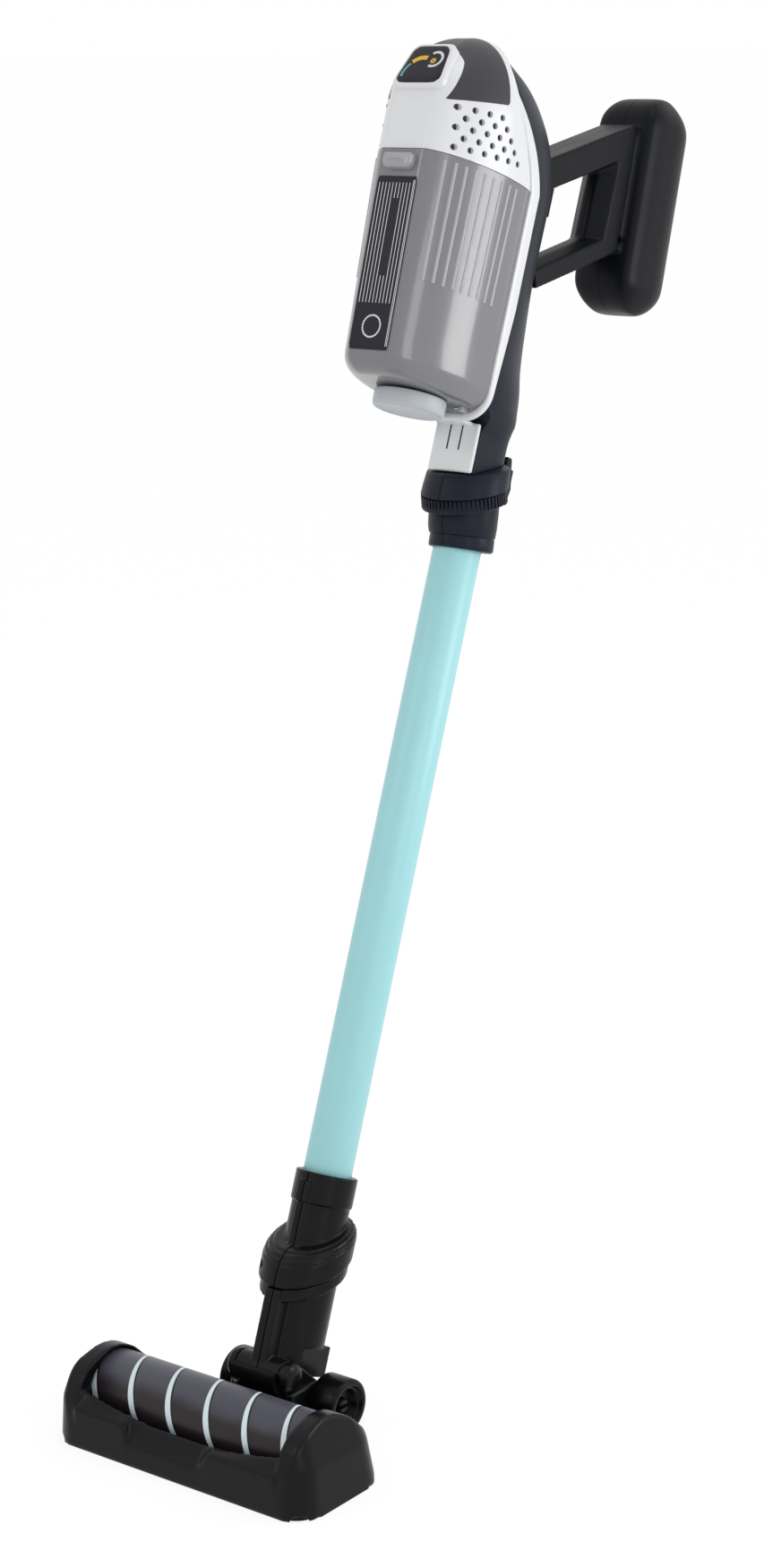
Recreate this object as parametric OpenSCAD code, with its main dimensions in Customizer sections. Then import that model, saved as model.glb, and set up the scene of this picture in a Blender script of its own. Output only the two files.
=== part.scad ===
// Toy stick vacuum cleaner: floor head, jointed neck, tube and hand unit with dust cup, in millimetres.
// The origin is the middle of the sole on the floor, +X across the head, +Y to the rear, +Z up.

/* [Stick] */
// Lean of the stick behind the upright, in degrees
lean = 20.9; // [14:0.1:25]
// Distance of the neck pivot behind the middle of the sole
pivot_back = 40; // [39.5:0.5:44]
// Height of the neck pivot above the floor
pivot_height = 34.5; // [34:0.5:40]
// Distance of the tube's axis behind the pivot, square to the stick
axis_back = 19; // [18:0.5:21]
// Radius of the tube
tube_radius = 13; // [12.7:0.1:13.3]
// Wall of the tube
tube_wall = 1.2; // [0.8:0.1:2]
// Length of tube that shows between the neck and the cuff
tube_shown = 338; // [250:1:450]
// Length of tube that each end pushes in
tube_inserted = 18; // [14:1:20]

/* [Floor head] */
// Width of the head
head_width = 170; // [168:1:190]
// Depth of the head
head_depth = 69; // [68:0.5:74]
// Corner radius of the head in plan
head_corner = 15; // [12:0.5:18]
// How far the end walls lean in over their height
end_lean = 9; // [6:0.5:9.5]
// How far the front wall leans in over the height of the end arches
front_lean = 2.5; // [1:0.5:3]
// Height up to which the front corners stand nearly upright
knee_height = 25; // [20:1:28]
// How far the rear wall leans in over the height of the end arches
rear_lean = 8; // [5:0.5:9]
// Wall of the moulded shells
shell_wall = 2.4; // [2:0.1:2.8]
// Height of the end arches
arch_height = 45.6; // [45:0.2:48]
// Height of the front wall at its outer edge
rim_height = 22.3; // [20:0.1:24]
// Height of the front wall's inner edge at its ends
rim_inner_height = 30; // [28:0.5:31]
// Dip of the inner edge towards the middle
rim_dip = 8; // [4:0.5:10]
// Depth of the notch in the front wall's outer edge
notch_drop = 9.8; // [5:0.2:11]
// Height of the rear wall
rear_height = 30; // [28:0.5:31]
// Thickness of the sole plate
sole_thickness = 2.4; // [1.8:0.1:2.8]
// Depth of the suction mouth, front to rear
mouth_depth = 32; // [20:1:34]
// Width of a guard bar across the mouth
guard_width = 5; // [3:0.5:8]

/* [Roller] */
// Outer radius of the roller with its sleeve
roller_radius = 19.5; // [18:0.1:19.7]
// Length of the roller
roller_length = 139; // [130:1:140]
// Distance of the roller axis behind the middle of the sole
roller_back = -1; // [-2:0.5:0]
// Height of the roller axis above the floor
roller_height = 23; // [22.8:0.1:24]
// Thickness of the printed sleeve
sleeve_thickness = 1; // [0.5:0.1:2]
// Radius of the roller's journals
journal_radius = 4; // [3:0.1:5]

/* [Wheels] */
// Radius of a rear wheel
wheel_radius = 15; // [14:0.25:15.5]
// Width of a rear wheel
wheel_width = 17; // [12:0.5:18]
// Distance of the wheel axle behind the middle of the sole
wheel_back = 62; // [61:0.5:66]
// Radius of the stub axles
axle_radius = 4; // [3.5:0.1:4.5]

/* [Neck] */
// Height of the neck's top edge above the pivot, along the stick
neck_height = 105.4; // [104:0.2:120]
// Outer radius of the neck's lower column
column_radius = 17; // [16:0.25:17.5]
// Outer radius of the collar round the tube
collar_radius = 16.6; // [16:0.1:18]
// Length of that collar
collar_length = 16; // [10:0.5:17]
// Tilt of the swivel groove, rear side up, in degrees
swivel_tilt = 30; // [28:1:32]
// Height above the pivot at which the swivel groove crosses the axis
groove_height = 57.6; // [57:0.2:59]
// Radius of the swivel's upper tier
tier_radius = 23.6; // [22:0.2:25]
// Thickness of the swivel's upper tier, along the stick
tier_thickness = 18; // [15:0.5:18]
// Radius of the swivel's lower tier
low_tier_radius = 22; // [20:0.25:23]
// Thickness of the swivel's lower tier, along the stick
low_tier_thickness = 7.6; // [5:0.2:9]

/* [Cuff] */
// Height of the cuff along the axis, from the tube's end to the flange top
cuff_height = 44; // [42:0.5:50]
// Tilt of the cuff's flange, rear side up, in degrees
cuff_tilt = 18; // [12:1:19]
// Radius of the cuff's flange
flange_radius = 22; // [21.5:0.1:23]
// Thickness of the cuff's flange
flange_thickness = 11.5; // [11:0.25:12.5]
// Thickness of the ribbed grip band
grip_band = 7.6; // [5:0.2:9]
// Ribs round the grip band
band_ribs = 40; // [24:1:48]

/* [Hand unit] */
// Height of the hand unit above the cuff, along the stick
unit_height = 212; // [209:1:222]
// Half of the width of the hand unit
unit_half_width = 36; // [35:0.25:39]
// Reach of the hand unit in front of the tube's axis, at the cup's top
unit_reach = 115; // [112:0.5:120]
// How much less the cup reaches at its foot
cup_taper = 6; // [3:0.5:8]
// Height of the white housing above the dust cup
housing_height = 72; // [70:0.5:75]
// Height of the domed part of the housing
dome_height = 45; // [42:1:47]
// Height of the dust cup
cup_height = 114; // [110:0.5:116]
// Wall of the dust cup
cup_wall = 1.8; // [1.4:0.1:2.2]
// Width of the white band round the cup, front to rear
rim_band = 8; // [7:0.5:9]
// Radius of the cap under the cup
cap_radius = 20; // [17:0.5:20]
// Height of the cap under the cup
cap_height = 8; // [6:0.5:8.5]
// Width of the label on the cup's flat front
label_width = 25; // [18:0.5:25]

/* [Handle] */
// Reach of the battery end behind the tube's axis
handle_reach = 120; // [116:1:126]
// Rise of the handle arms from square to the stick, in degrees
arm_rise = 31; // [29:0.5:32]
// Width of the handle arms
arm_width = 23; // [21:0.5:25]
// Height of the upper arm
upper_arm = 19; // [17:0.5:20]
// Height of the lower arm
lower_arm = 13; // [12:0.5:14]
// Depth of the battery end, front to rear
battery_depth = 46; // [43:1:48]
// Height of the battery end
battery_height = 121; // [116:1:126]
// Width of the battery end
battery_width = 40; // [38:1:44]

/* [Hidden] */
$fn = 64;

// Fits and overruns
cut = 1;
sliver = 0.1;
running_gap = 0.05;
seat_gap = 0.2;
clear_gap = 0.4;
seam_gap = 0.2;

// Colours
black_plastic = [0.13, 0.13, 0.14];
slate_plastic = [0.22, 0.24, 0.28];
navy_plastic = [0.15, 0.15, 0.18];
white_plastic = [0.88, 0.89, 0.90];
turquoise_plastic = [0.62, 0.84, 0.86];
smoke_plastic = [0.50, 0.50, 0.52, 0.6];
pale_grey_plastic = [0.72, 0.74, 0.77];
panel_grey_plastic = [0.25, 0.25, 0.27];
display_violet = [0.17, 0.15, 0.23];
sleeve_slate = [0.32, 0.34, 0.40];
steel_grey = [0.62, 0.63, 0.65];

// Floor head places
roller_gap = 0.8;
trough_radius = roller_radius + roller_gap;
trough_half = roller_length / 2 + clear_gap * 2;
arch_lap = 3.5;
end_inner = trough_half - arch_lap;
rim_back = 26;
knee_share = 0.2;
rear_knee_share = 0.55;
bush_wall = 2;
bush_length = 5;
boss_radius = 3.6;
pilot_radius = 1.15;
screw_radius = 1.25;
screw_head_radius = 2.5;
screw_head_height = 1.6;
screw_length = 10;
sole_inset = shell_wall + seat_gap;
boss_side = head_width / 2 - sole_inset - boss_radius - cut;
boss_front = head_depth / 2 - head_corner;
mouth_slots = 4;
arch_shares = [
  [-1.02, 0], [-0.96, 0.50], [-0.91, 0.58], [-0.85, 0.71], [-0.74, 0.82], [-0.58, 0.91], [-0.30, 0.985],
  [-0.07, 1], [0.14, 0.97], [0.26, 0.93], [0.40, 0.87], [0.49, 0.81], [0.62, 0.71], [0.75, 0.63],
  [0.82, 0.60], [1.02, 0]
];
rim_shares = [-1, -0.75, -0.49, -0.44, -0.22, 0, 0.21, 0.37, 0.60, 0.80, 1];
notch_shares = [-0.45, 0.22];

// Wheel bracket places
ear_radius = 7.9;
ear_inner = 14.8;
ear_thickness = 3.4;
ear_dome = 3;
dome_shares = [[1, 0], [0.88, 0.45], [0.62, 0.8], [0.3, 1]];
wheel_inner = ear_inner + ear_thickness + ear_dome + clear_gap;
axle_boss_radius = 7;
pin_radius = 2.5;
snap_lip = 0.7;
snap_length = 2.6;
snap_slot = 1.6;
hub_recess = 6;
hub_radius = 9.5;
hub_wall = 2.2;
wheel_edge = 1.6;
bracket_floor = 4;
bracket_lift = 5;
bracket_top = 22;
bracket_screw_level = 13;
bracket_front = head_depth / 2 + cut;

// Neck places, in the stick's frame with its origin on the axis at the pivot's level
far = 500;
groove_gap = 0.8;
bead_half = 5;
bead_reach = 26;
bead_root = 10;
heel_front = 8;
heel_reach = 15.5;
heel_drop = 0.5;
heel_height = 16;
shoulder_height = 15;
barrel_half = ear_inner - clear_gap;
column_wall = 3;
swivel_radius = 11;
swivel_length = 5;
swivel_flange = 2;
swivel_flange_thickness = 3;
tier_centre = -2.6;
low_tier_centre = -2;
tier_edge = 6;
tier_edge_shares = [[0, 1], [0.1, 0.55], [0.35, 0.2], [0.75, 0]];
mid_radius = 15.6;
collar_bead_half = 4;
collar_bead = 2;
collar_bead_drop = 5;
rib_half = 4.5;
rib_reach = 21;
rib_drop = 8;
tube_foot = neck_height - tube_inserted;
tube_top = neck_height + tube_shown;
half_screw = 16;
foot_screw_set = 8;
foot_screw_places = [[-12.6, 28], [11.5, 6]];
top_screw_set = 9;
top_screw_places = [[-19.5, 5.5], [17.5, 5.5]];

// Cuff places
cuff_top = tube_top + cuff_height;
cuff_centre = -4.5;
waist_centre = -3.4;
foot_ring = 8;
foot_ring_radius = tube_radius + 3.6;
waist_radius = 18.8;
band_radius = flange_radius - 1;
rib_depth = 1;
nozzle_centre = -5;
nozzle_radius = 10.2;
nozzle_wall = 2;
socket_stop = tube_top + tube_inserted + shell_wall;
throat_radius = tube_radius - tube_wall - shell_wall;
stem_half = 3.4;
stem_level = -1;
stem_end = 13.5;
stem_pocket = 8;
button_half = 6;
button_face = 20.6;
button_travel = 2.5;
button_reach = 29;
button_low = -7;
button_high = 13;
cuff_screw_set = 7.5;
cuff_screw_places = [[-21.5, -5.5], [12.5, -15]];

// Hand unit places
unit_top = cuff_top + unit_height;
seam_level = unit_top - housing_height;
dome_level = unit_top - dome_height;
cup_foot = seam_level - cup_height;
cup_top = seam_level - clear_gap;
band_plane = -45;
band_lean_share = 0.30;
band_proud = 1.2;
band_drop = 6;
band_foot = cup_foot - band_drop;
band_corner = 15;
band_wall = 4;
band_steps = 8;
unit_foot_half = 32.4;
band_side = 32.2;
section_power = 2.4;
land_share = 0.963;
shoulder_share = 0.35;
neck_half = 14;
neck_inner = 10;
neck_front = -20;
neck_plate = 3;
slit_side = 3.8;
slit_low = 12;
web_thickness = 2.4;
ring_steps = 32;
dome_steps = 8;
inlay_depth = 1.6;
hole_radius = 1.5;
hole_row = 5.1;
hole_pitch = 8.2;
hole_rows = 5;
hole_columns = 6;
hole_slant = 0.56;
hole_back = 19;
hole_low = 3.1;
hole_rise_share = 0.11;
display_tilt = 21.6;
display_width = 28;
display_height = 23;
display_thickness = 1.8;
display_sink = 4;
display_rise_share = 0.618;
display_level = seam_level + housing_height * display_rise_share;
display_top_share = 0.76;
panel_shares = [
  [0.265, 0.48], [0.585, 0.37], [0.55, 0.52], [0.51, 0.68], [0.50, 0.82], [0.50, 1.05], [0.20, 1.05]
];
cup_round = 10;
cap_centre = -67;
cap_boss_radius = 12;
cap_boss_height = 6;
cap_gap = 1.2;
label_thickness = 0.4;
label_height = 89.4;
label_foot = 10;
latch_half = 9;
latch_height = 10.5;
latch_proud = 4.5;
latch_flange = 1.5;
latch_travel = 2;
latch_drop = 3;
knuckle_inner = 15.5;
knuckle_length = 3;
knuckle_radius = 2.4;
knuckle_pin = 1.1;
knuckle_drop = 3;
knuckle_forward = 3.2;
knuckle_root = 2;

// Rear casing rows: height share, half width share, back share, roundness
spine_wide = 31.5;
spine_depth = 48;
seam_share = (seam_level - cuff_top + flange_thickness) / (unit_top - cuff_top + flange_thickness);
spine_rows = [
  [0.00, 0.44, 0.19, 4.0], [0.1409, 0.44, 0.19, 4.0], [0.145, 0.54, 0.20, 3.2], [0.17, 0.76, 0.20, 2.6],
  [0.195, 0.87, 0.21, 2.2], [0.24, 0.92, 0.21, 2.0], [0.30, 0.92, 0.17, 1.8], [0.40, 0.91, 0.07, 1.8],
  [0.52, 0.91, -0.02, 1.8], [seam_share, 0.92, -0.04, 1.8], [0.74, 0.92, -0.08, 1.8],
  [0.82, 0.82, -0.19, 1.9], [0.89, 0.62, -0.38, 2.0], [0.945, 0.40, -0.62, 2.0], [0.985, 0.18, -1.00, 2.0]
];
spine_land_share = 0.93;
spine_foot = cuff_top - flange_thickness;
rim_foot_share = 0.4;
rim_row_share = 0.40;
rim_top = spine_level(rim_row_share);

// Handle places
arm_root = -30;
upper_rise = 165.6;
lower_rise = 112.6;
upper_root = cuff_top + upper_rise;
lower_root = cuff_top + lower_rise;
root_back = 5;
lower_root_back = 11;
grip_front = 52;
grip_rear = 84;
arm_reach = 84;
flare = 8;
flare_half = 3;
grip_half = arm_width / 2;
battery_rise = 175.5;
battery_middle = cuff_top + battery_rise;
battery_tilt = 4;
battery_corner = 20;
battery_plan_shares = [
  [-0.42, -0.5], [0.42, -0.5], [0.5, -0.3], [0.5, 0.2], [0.36, 0.5], [-0.36, 0.5], [-0.5, 0.2], [-0.5, -0.3]
];
battery_end_shares = [
  [-0.3, -0.5], [0.3, -0.5], [0.5, -0.42], [0.5, 0.42], [0.3, 0.5], [-0.3, 0.5], [-0.5, 0.42], [-0.5, -0.42]
];
handle_wall = 2.4;
handle_screw_set = 6;
upper_screw_back = 34;
upper_screw_rise = 183;
lower_screw_back = 40;
lower_screw_rise = 130;
handle_screw_places = [
  [upper_screw_back, cuff_top + upper_screw_rise], [lower_screw_back, cuff_top + lower_screw_rise]
];
trigger_half = 4.5;
trigger_back = 8.5;
trigger_rise = 160.5;
trigger_level = cuff_top + trigger_rise;
trigger_drop = 16.5;
trigger_depth = 9;
trigger_boss = 3.5;
trigger_pin_radius = 1.5;
trigger_slot = 10;

// Frames
module on_stick() {
  translate([0, pivot_back, pivot_height]) rotate([-lean, 0, 0]) translate([0, axis_back, 0]) children();
}

module at_groove() {
  translate([0, 0, groove_height]) rotate([swivel_tilt, 0, 0]) children();
}

module at_cuff() {
  translate([0, 0, cuff_top]) rotate([cuff_tilt, 0, 0]) children();
}

module above() {
  translate([-far, -far, 0]) cube(far * 2);
}

module below() {
  translate([-far, -far, -far * 2]) cube(far * 2);
}

module across(length) {
  rotate([90, 0, 90]) translate([0, 0, -length / 2]) linear_extrude(length) children();
}

module fore_aft(front, rear) {
  translate([0, rear, 0]) rotate([90, 0, 0]) linear_extrude(rear - front) children();
}

module rod(radius, from, to) {
  translate([from, 0, 0]) rotate([0, 90, 0]) cylinder(r = radius, h = to - from);
}

module box(low, high) {
  translate(low) cube(high - low);
}

module right_half() {
  intersection() {
    children();
    box([seam_gap / 2, -far, -far], [far, far, far * 3]);
  }
}

module left_half() {
  intersection() {
    children();
    box([-far, -far, -far], [-seam_gap / 2, far, far * 3]);
  }
}

module rounded_rect(width, depth, corner) {
  square([width - corner * 2, depth], center = true);
  square([width, depth - corner * 2], center = true);
  for (x = [-1, 1], y = [-1, 1]) {
    translate([x * (width / 2 - corner), y * (depth / 2 - corner)]) circle(corner);
  }
}

// A solid through a list of rings, each ring counter-clockwise seen from its far end
module loft(rings) {
  count = len(rings[0]);
  last = len(rings) - 1;
  points = [for (ring = rings) each ring];
  sides = [
    for (i = [0 : last - 1], j = [0 : count - 1])
      let (k = (j + 1) % count)
        each [[i * count + j, (i + 1) * count + j, (i + 1) * count + k],
              [i * count + j, (i + 1) * count + k, i * count + k]]
  ];
  foot = [for (j = [0 : count - 1]) j];
  top = [for (j = [count - 1 : -1 : 0]) last * count + j];
  polyhedron(points, concat([foot, top], sides));
}

// Screws of the half shells, lying along X with the head on the left
module half_screw_at(set, place) {
  translate([-set, place.x, place.y]) rotate([0, 90, 0]) children();
}

module half_screw() {
  cylinder(r = screw_radius, h = half_screw);
  translate([0, 0, -screw_head_height]) cylinder(r = screw_head_radius, h = screw_head_height);
}

module half_screw_hole() {
  cylinder(r = screw_radius + running_gap, h = half_screw + cut);
  translate([0, 0, -far]) cylinder(r = screw_head_radius + running_gap, h = far + running_gap);
}

// Floor head
module head_level(height, ends, front, rear) {
  translate([0, (front - rear) / 2, height]) linear_extrude(sliver) {
    rounded_rect(head_width - ends * 2, head_depth - front - rear, head_corner, $fn = 32);
  }
}

module head_block() {
  hull() {
    head_level(0, 0, 0, 0);
    head_level(knee_height, end_lean * knee_share, front_lean * knee_share, rear_lean * rear_knee_share);
    head_level(arch_height, end_lean, front_lean, rear_lean);
  }
}

module end_profile() {
  polygon([for (share = arch_shares) [share.x * head_depth / 2, share.y * arch_height]]);
}

function rim_ring(share) = let (
  front = -head_depth / 2,
  notched = share > notch_shares[0] && share < notch_shares[1],
  outer = rim_height - (notched ? notch_drop : 0),
  inner = rim_inner_height - rim_dip * (1 - pow(share, 2))
) [
  [front, 0, share * end_inner],
  [-rim_back, 0, share * end_inner],
  [-rim_back, inner, share * end_inner],
  [front + front_lean * knee_share, outer, share * end_inner]
];

module front_wall() {
  rotate([90, 0, 90]) loft([for (share = rim_shares) rim_ring(share)]);
}

module sole_screw_places() {
  for (side = [-1, 1], front = [-1, 1]) translate([side * boss_side, front * boss_front, 0]) children();
}

module bracket_screw_places() {
  for (side = [-1, 1]) translate([side * ear_inner / 2, bracket_front, bracket_screw_level]) children();
}

module head_shell() {
  trough_rear = roller_back + trough_radius;
  color(black_plastic)
  difference() {
    union() {
      intersection() {
        head_block();
        across(head_width) end_profile();
        union() {
          box([-head_width, -head_depth, 0], [-end_inner, head_depth, arch_height]);
          box([end_inner, -head_depth, 0], [head_width, head_depth, arch_height]);
          box([-end_inner - cut, trough_rear, 0], [end_inner + cut, head_depth, rear_height]);
        }
      }
      front_wall();
      box([-ear_inner, trough_rear + shell_wall, bracket_lift],
        [ear_inner, bracket_front - running_gap, bracket_top]);
    }
    translate([0, roller_back, roller_height]) rod(trough_radius, -trough_half, trough_half);
    box([-trough_half, roller_back - trough_radius, -cut], [trough_half, trough_rear, roller_height]);
    for (side = [-1, 1]) {
      low = side > 0 ? ear_inner + shell_wall : -trough_half + shell_wall;
      high = side > 0 ? trough_half - shell_wall : -ear_inner - shell_wall;
      box([low, trough_rear + shell_wall, -cut],
        [high, trough_rear + shell_wall * 3, rear_height - shell_wall]);
      translate([side * trough_half, roller_back, roller_height]) {
        rod(journal_radius + bush_wall, -bush_length, bush_length);
      }
    }
    translate([0, 0, -cut]) linear_extrude(sole_thickness + cut) {
      rounded_rect(head_width - shell_wall * 2, head_depth - shell_wall * 2, head_corner - shell_wall);
    }
    sole_screw_places() cylinder(r = pilot_radius, h = screw_length + cut);
    bracket_screw_places() rotate([90, 0, 0]) cylinder(r = pilot_radius, h = screw_length);
  }
}

module sole_plate() {
  pitch = trough_half * 2 / mouth_slots;
  color(black_plastic)
  difference() {
    linear_extrude(sole_thickness - running_gap) {
      rounded_rect(head_width - sole_inset * 2, head_depth - sole_inset * 2, head_corner - sole_inset);
    }
    for (i = [0 : mouth_slots - 1]) {
      low = -trough_half + i * pitch + guard_width / 2;
      box([low, roller_back - mouth_depth / 2, -cut],
        [low + pitch - guard_width, roller_back + mouth_depth / 2, sole_thickness + cut]);
    }
    sole_screw_places() translate([0, 0, -cut]) {
      cylinder(r = screw_radius + running_gap, h = sole_thickness + cut * 2);
      cylinder(r = screw_head_radius + seat_gap, h = screw_head_height / 2 + cut);
    }
  }
}

module sole_screws() {
  color(steel_grey)
  sole_screw_places() translate([0, 0, screw_head_height / 4]) {
    cylinder(r = screw_head_radius, h = screw_head_height / 4);
    cylinder(r = pilot_radius - running_gap, h = screw_length);
  }
}

// Roller
module roller_core() {
  inner = roller_radius - sleeve_thickness - running_gap;
  reach = trough_half + bush_length - clear_gap;
  color(black_plastic)
  translate([0, roller_back, roller_height])
  difference() {
    union() {
      rod(inner, -roller_length / 2, roller_length / 2);
      rod(journal_radius - running_gap, -reach, reach);
    }
    difference() {
      rod(inner - shell_wall, -roller_length / 2 + shell_wall, roller_length / 2 - shell_wall);
      rod(journal_radius + shell_wall, -roller_length / 2, roller_length / 2);
    }
    rod(journal_radius / 2, -roller_length, roller_length);
  }
}

module roller_sleeve() {
  color(sleeve_slate)
  translate([0, roller_back, roller_height])
  difference() {
    rod(roller_radius, -roller_length / 2, roller_length / 2);
    rod(roller_radius - sleeve_thickness, -roller_length, roller_length);
  }
}

module roller_bushes() {
  color(pale_grey_plastic)
  for (side = [-1, 1]) translate([side * trough_half, roller_back, roller_height]) {
    low = side > 0 ? running_gap : -bush_length + running_gap;
    difference() {
      rod(journal_radius + bush_wall - running_gap, low, low + bush_length - running_gap * 2);
      rod(journal_radius, -bush_length * 2, bush_length * 2);
    }
  }
}

// Wheels and their bracket
module cheek_profile() {
  pivot = [pivot_back, pivot_height];
  axle = [wheel_back, wheel_radius];
  root = [bracket_front, bracket_lift];
  along = (axle - pivot) / norm(axle - pivot);
  side = [-along.y, along.x];
  translate(pivot) circle(ear_radius);
  translate(axle) circle(axle_boss_radius);
  polygon([
    pivot + side * ear_radius,
    [bracket_front, pivot_height],
    root,
    axle - [0, axle_boss_radius],
    axle + side * axle_boss_radius
  ]);
}

module ear_dome_cap() {
  face = ear_inner + ear_thickness;
  for (i = [0 : len(dome_shares) - 2]) {
    translate([face + dome_shares[i].y * ear_dome, 0, 0]) rotate([0, 90, 0]) cylinder(
      r1 = dome_shares[i].x * ear_radius,
      r2 = dome_shares[i + 1].x * ear_radius,
      h = (dome_shares[i + 1].y - dome_shares[i].y) * ear_dome
    );
  }
}

module stub_axle() {
  shank = wheel_inner + wheel_width - hub_recess + clear_gap;
  difference() {
    union() {
      rod(axle_radius - running_gap, ear_inner + cut, shank);
      rod(axle_radius + bush_wall, ear_inner + cut, wheel_inner - clear_gap);
      translate([shank, 0, 0]) rotate([0, 90, 0]) {
        cylinder(r1 = axle_radius + snap_lip, r2 = axle_radius - snap_lip, h = snap_length);
      }
    }
    box([shank - axle_radius, -axle_radius * 2, -snap_slot / 2],
      [shank + snap_length + cut, axle_radius * 2, snap_slot / 2]);
  }
}

module bracket_side() {
  translate([ear_inner + ear_thickness / 2, 0, 0]) across(ear_thickness) cheek_profile();
  translate([0, pivot_back, pivot_height]) ear_dome_cap();
  translate([0, wheel_back, wheel_radius]) stub_axle();
}

module wheel_bracket() {
  floor_rear = pivot_back + ear_radius;
  color(black_plastic)
  difference() {
    union() {
      bracket_side();
      mirror([1, 0, 0]) bracket_side();
      box([-ear_inner - cut, bracket_front, bracket_lift],
        [ear_inner + cut, floor_rear, bracket_lift + bracket_floor]);
      box([-ear_inner - cut, bracket_front, bracket_lift],
        [ear_inner + cut, bracket_front + shell_wall, bracket_top]);
    }
    translate([0, pivot_back, pivot_height]) {
      rod(pin_radius + running_gap, -ear_inner - ear_thickness, ear_inner + ear_thickness);
    }
    bracket_screw_places() rotate([-90, 0, 0]) translate([0, 0, -cut]) {
      cylinder(r = screw_radius + running_gap, h = shell_wall + cut * 2);
    }
  }
}

module bracket_screws() {
  color(steel_grey)
  bracket_screw_places() translate([0, shell_wall + running_gap, 0]) rotate([90, 0, 0]) {
    cylinder(r = pilot_radius - running_gap, h = screw_length);
    translate([0, 0, -screw_head_height]) cylinder(r = screw_head_radius, h = screw_head_height);
  }
}

module wheel() {
  color(black_plastic)
  translate([wheel_inner, wheel_back, wheel_radius]) rotate([0, 90, 0])
  rotate_extrude() polygon([
    [axle_radius, 0],
    [wheel_radius - wheel_edge, 0],
    [wheel_radius, wheel_edge],
    [wheel_radius, wheel_width - wheel_edge],
    [wheel_radius - wheel_edge, wheel_width],
    [hub_radius + hub_wall, wheel_width],
    [hub_radius + hub_wall / 2, wheel_width - hub_wall],
    [hub_radius, wheel_width - hub_wall],
    [hub_radius - hub_wall / 2, wheel_width - hub_recess],
    [axle_radius, wheel_width - hub_recess]
  ]);
}

module wheel_right() {
  wheel();
}

module wheel_left() {
  mirror([1, 0, 0]) wheel();
}

module neck_hinge_pin() {
  reach = ear_inner + ear_thickness - running_gap;
  color(steel_grey)
  translate([0, pivot_back, pivot_height]) rod(pin_radius, -reach, reach);
}

// Neck foot, up to the swivel groove
module foot_screws_at() {
  for (place = foot_screw_places) half_screw_at(foot_screw_set, place) children();
}

module neck_foot() {
  on_stick() difference() {
    union() {
      intersection() {
        union() {
          translate([0, 0, shoulder_height]) cylinder(r = column_radius, h = far);
          intersection() {
            translate([0, 0, -heel_drop]) cylinder(r = column_radius, h = shoulder_height + heel_drop + cut);
            box([-barrel_half, -axis_back, -heel_drop], [barrel_half, heel_reach, shoulder_height + cut]);
          }
          box([-bead_half, -bead_reach, 0], [bead_half, -bead_root, far / 2]);
          box([-barrel_half, heel_front, -heel_drop], [barrel_half, heel_reach, heel_height]);
          box([-rib_half, heel_front, heel_height - cut], [rib_half, rib_reach, far / 2]);
          intersection() {
            translate([0, low_tier_centre, 0]) cylinder(r = low_tier_radius, h = far / 2);
            translate([0, 0, -low_tier_thickness]) at_groove() above();
          }
        }
        at_groove() translate([0, 0, -groove_gap / 2]) below();
      }
      translate([0, -axis_back, 0]) rod(ear_radius, -barrel_half, barrel_half);
      at_groove() translate([0, 0, -low_tier_thickness / 2]) {
        cylinder(r = swivel_radius, h = low_tier_thickness / 2 + swivel_length + cut);
      }
      at_groove() translate([0, 0, swivel_length]) {
        cylinder(r = swivel_radius + swivel_flange, h = swivel_flange_thickness);
      }
    }
    translate([0, -axis_back, 0]) rod(pin_radius + running_gap, -barrel_half - cut, barrel_half + cut);
    translate([0, 0, shoulder_height]) cylinder(r = swivel_radius - column_wall, h = far);
    foot_screws_at() half_screw_hole();
  }
}

module neck_foot_left() {
  color(black_plastic) left_half() neck_foot();
}

module neck_foot_right() {
  color(black_plastic) right_half() neck_foot();
}

module neck_foot_screws() {
  color(steel_grey) on_stick() foot_screws_at() half_screw();
}

// Neck top, from the swivel groove to the tube
module top_screws_at() {
  at_groove() for (place = top_screw_places) half_screw_at(top_screw_set, place) children();
}

module neck_top() {
  collar_low = neck_height - collar_length;
  on_stick() difference() {
    union() {
      intersection() {
        union() {
          cylinder(r = mid_radius, h = neck_height - cut);
          box([-rib_half, 0, 0], [rib_half, rib_reach, neck_height - rib_drop]);
          box([-collar_bead_half, -mid_radius - cut, 0], [collar_bead_half, 0, collar_low + cut]);
          for (share = tier_edge_shares) intersection() {
            translate([0, tier_centre, 0]) cylinder(r = tier_radius - share.x * tier_edge, h = far / 2);
            translate([0, 0, tier_thickness - share.y * tier_edge]) at_groove() below();
          }
        }
        at_groove() translate([0, 0, groove_gap / 2]) above();
      }
      translate([0, 0, collar_low]) cylinder(r = collar_radius, h = collar_length);
      box([-collar_bead_half, -collar_radius - collar_bead, collar_low],
        [collar_bead_half, 0, neck_height - collar_bead_drop]);
    }
    translate([0, 0, tube_foot]) cylinder(r = tube_radius + running_gap, h = far);
    translate([0, 0, groove_height]) cylinder(r = swivel_radius - column_wall, h = far);
    at_groove() cylinder(r = swivel_radius + running_gap, h = swivel_length + cut);
    at_groove() translate([0, 0, swivel_length - clear_gap]) {
      cylinder(r = swivel_radius + swivel_flange + clear_gap, h = swivel_flange_thickness + clear_gap * 2);
    }
    top_screws_at() half_screw_hole();
  }
}

module neck_top_left() {
  color(black_plastic) left_half() neck_top();
}

module neck_top_right() {
  color(black_plastic) right_half() neck_top();
}

module neck_top_screws() {
  color(steel_grey) on_stick() top_screws_at() half_screw();
}

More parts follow.
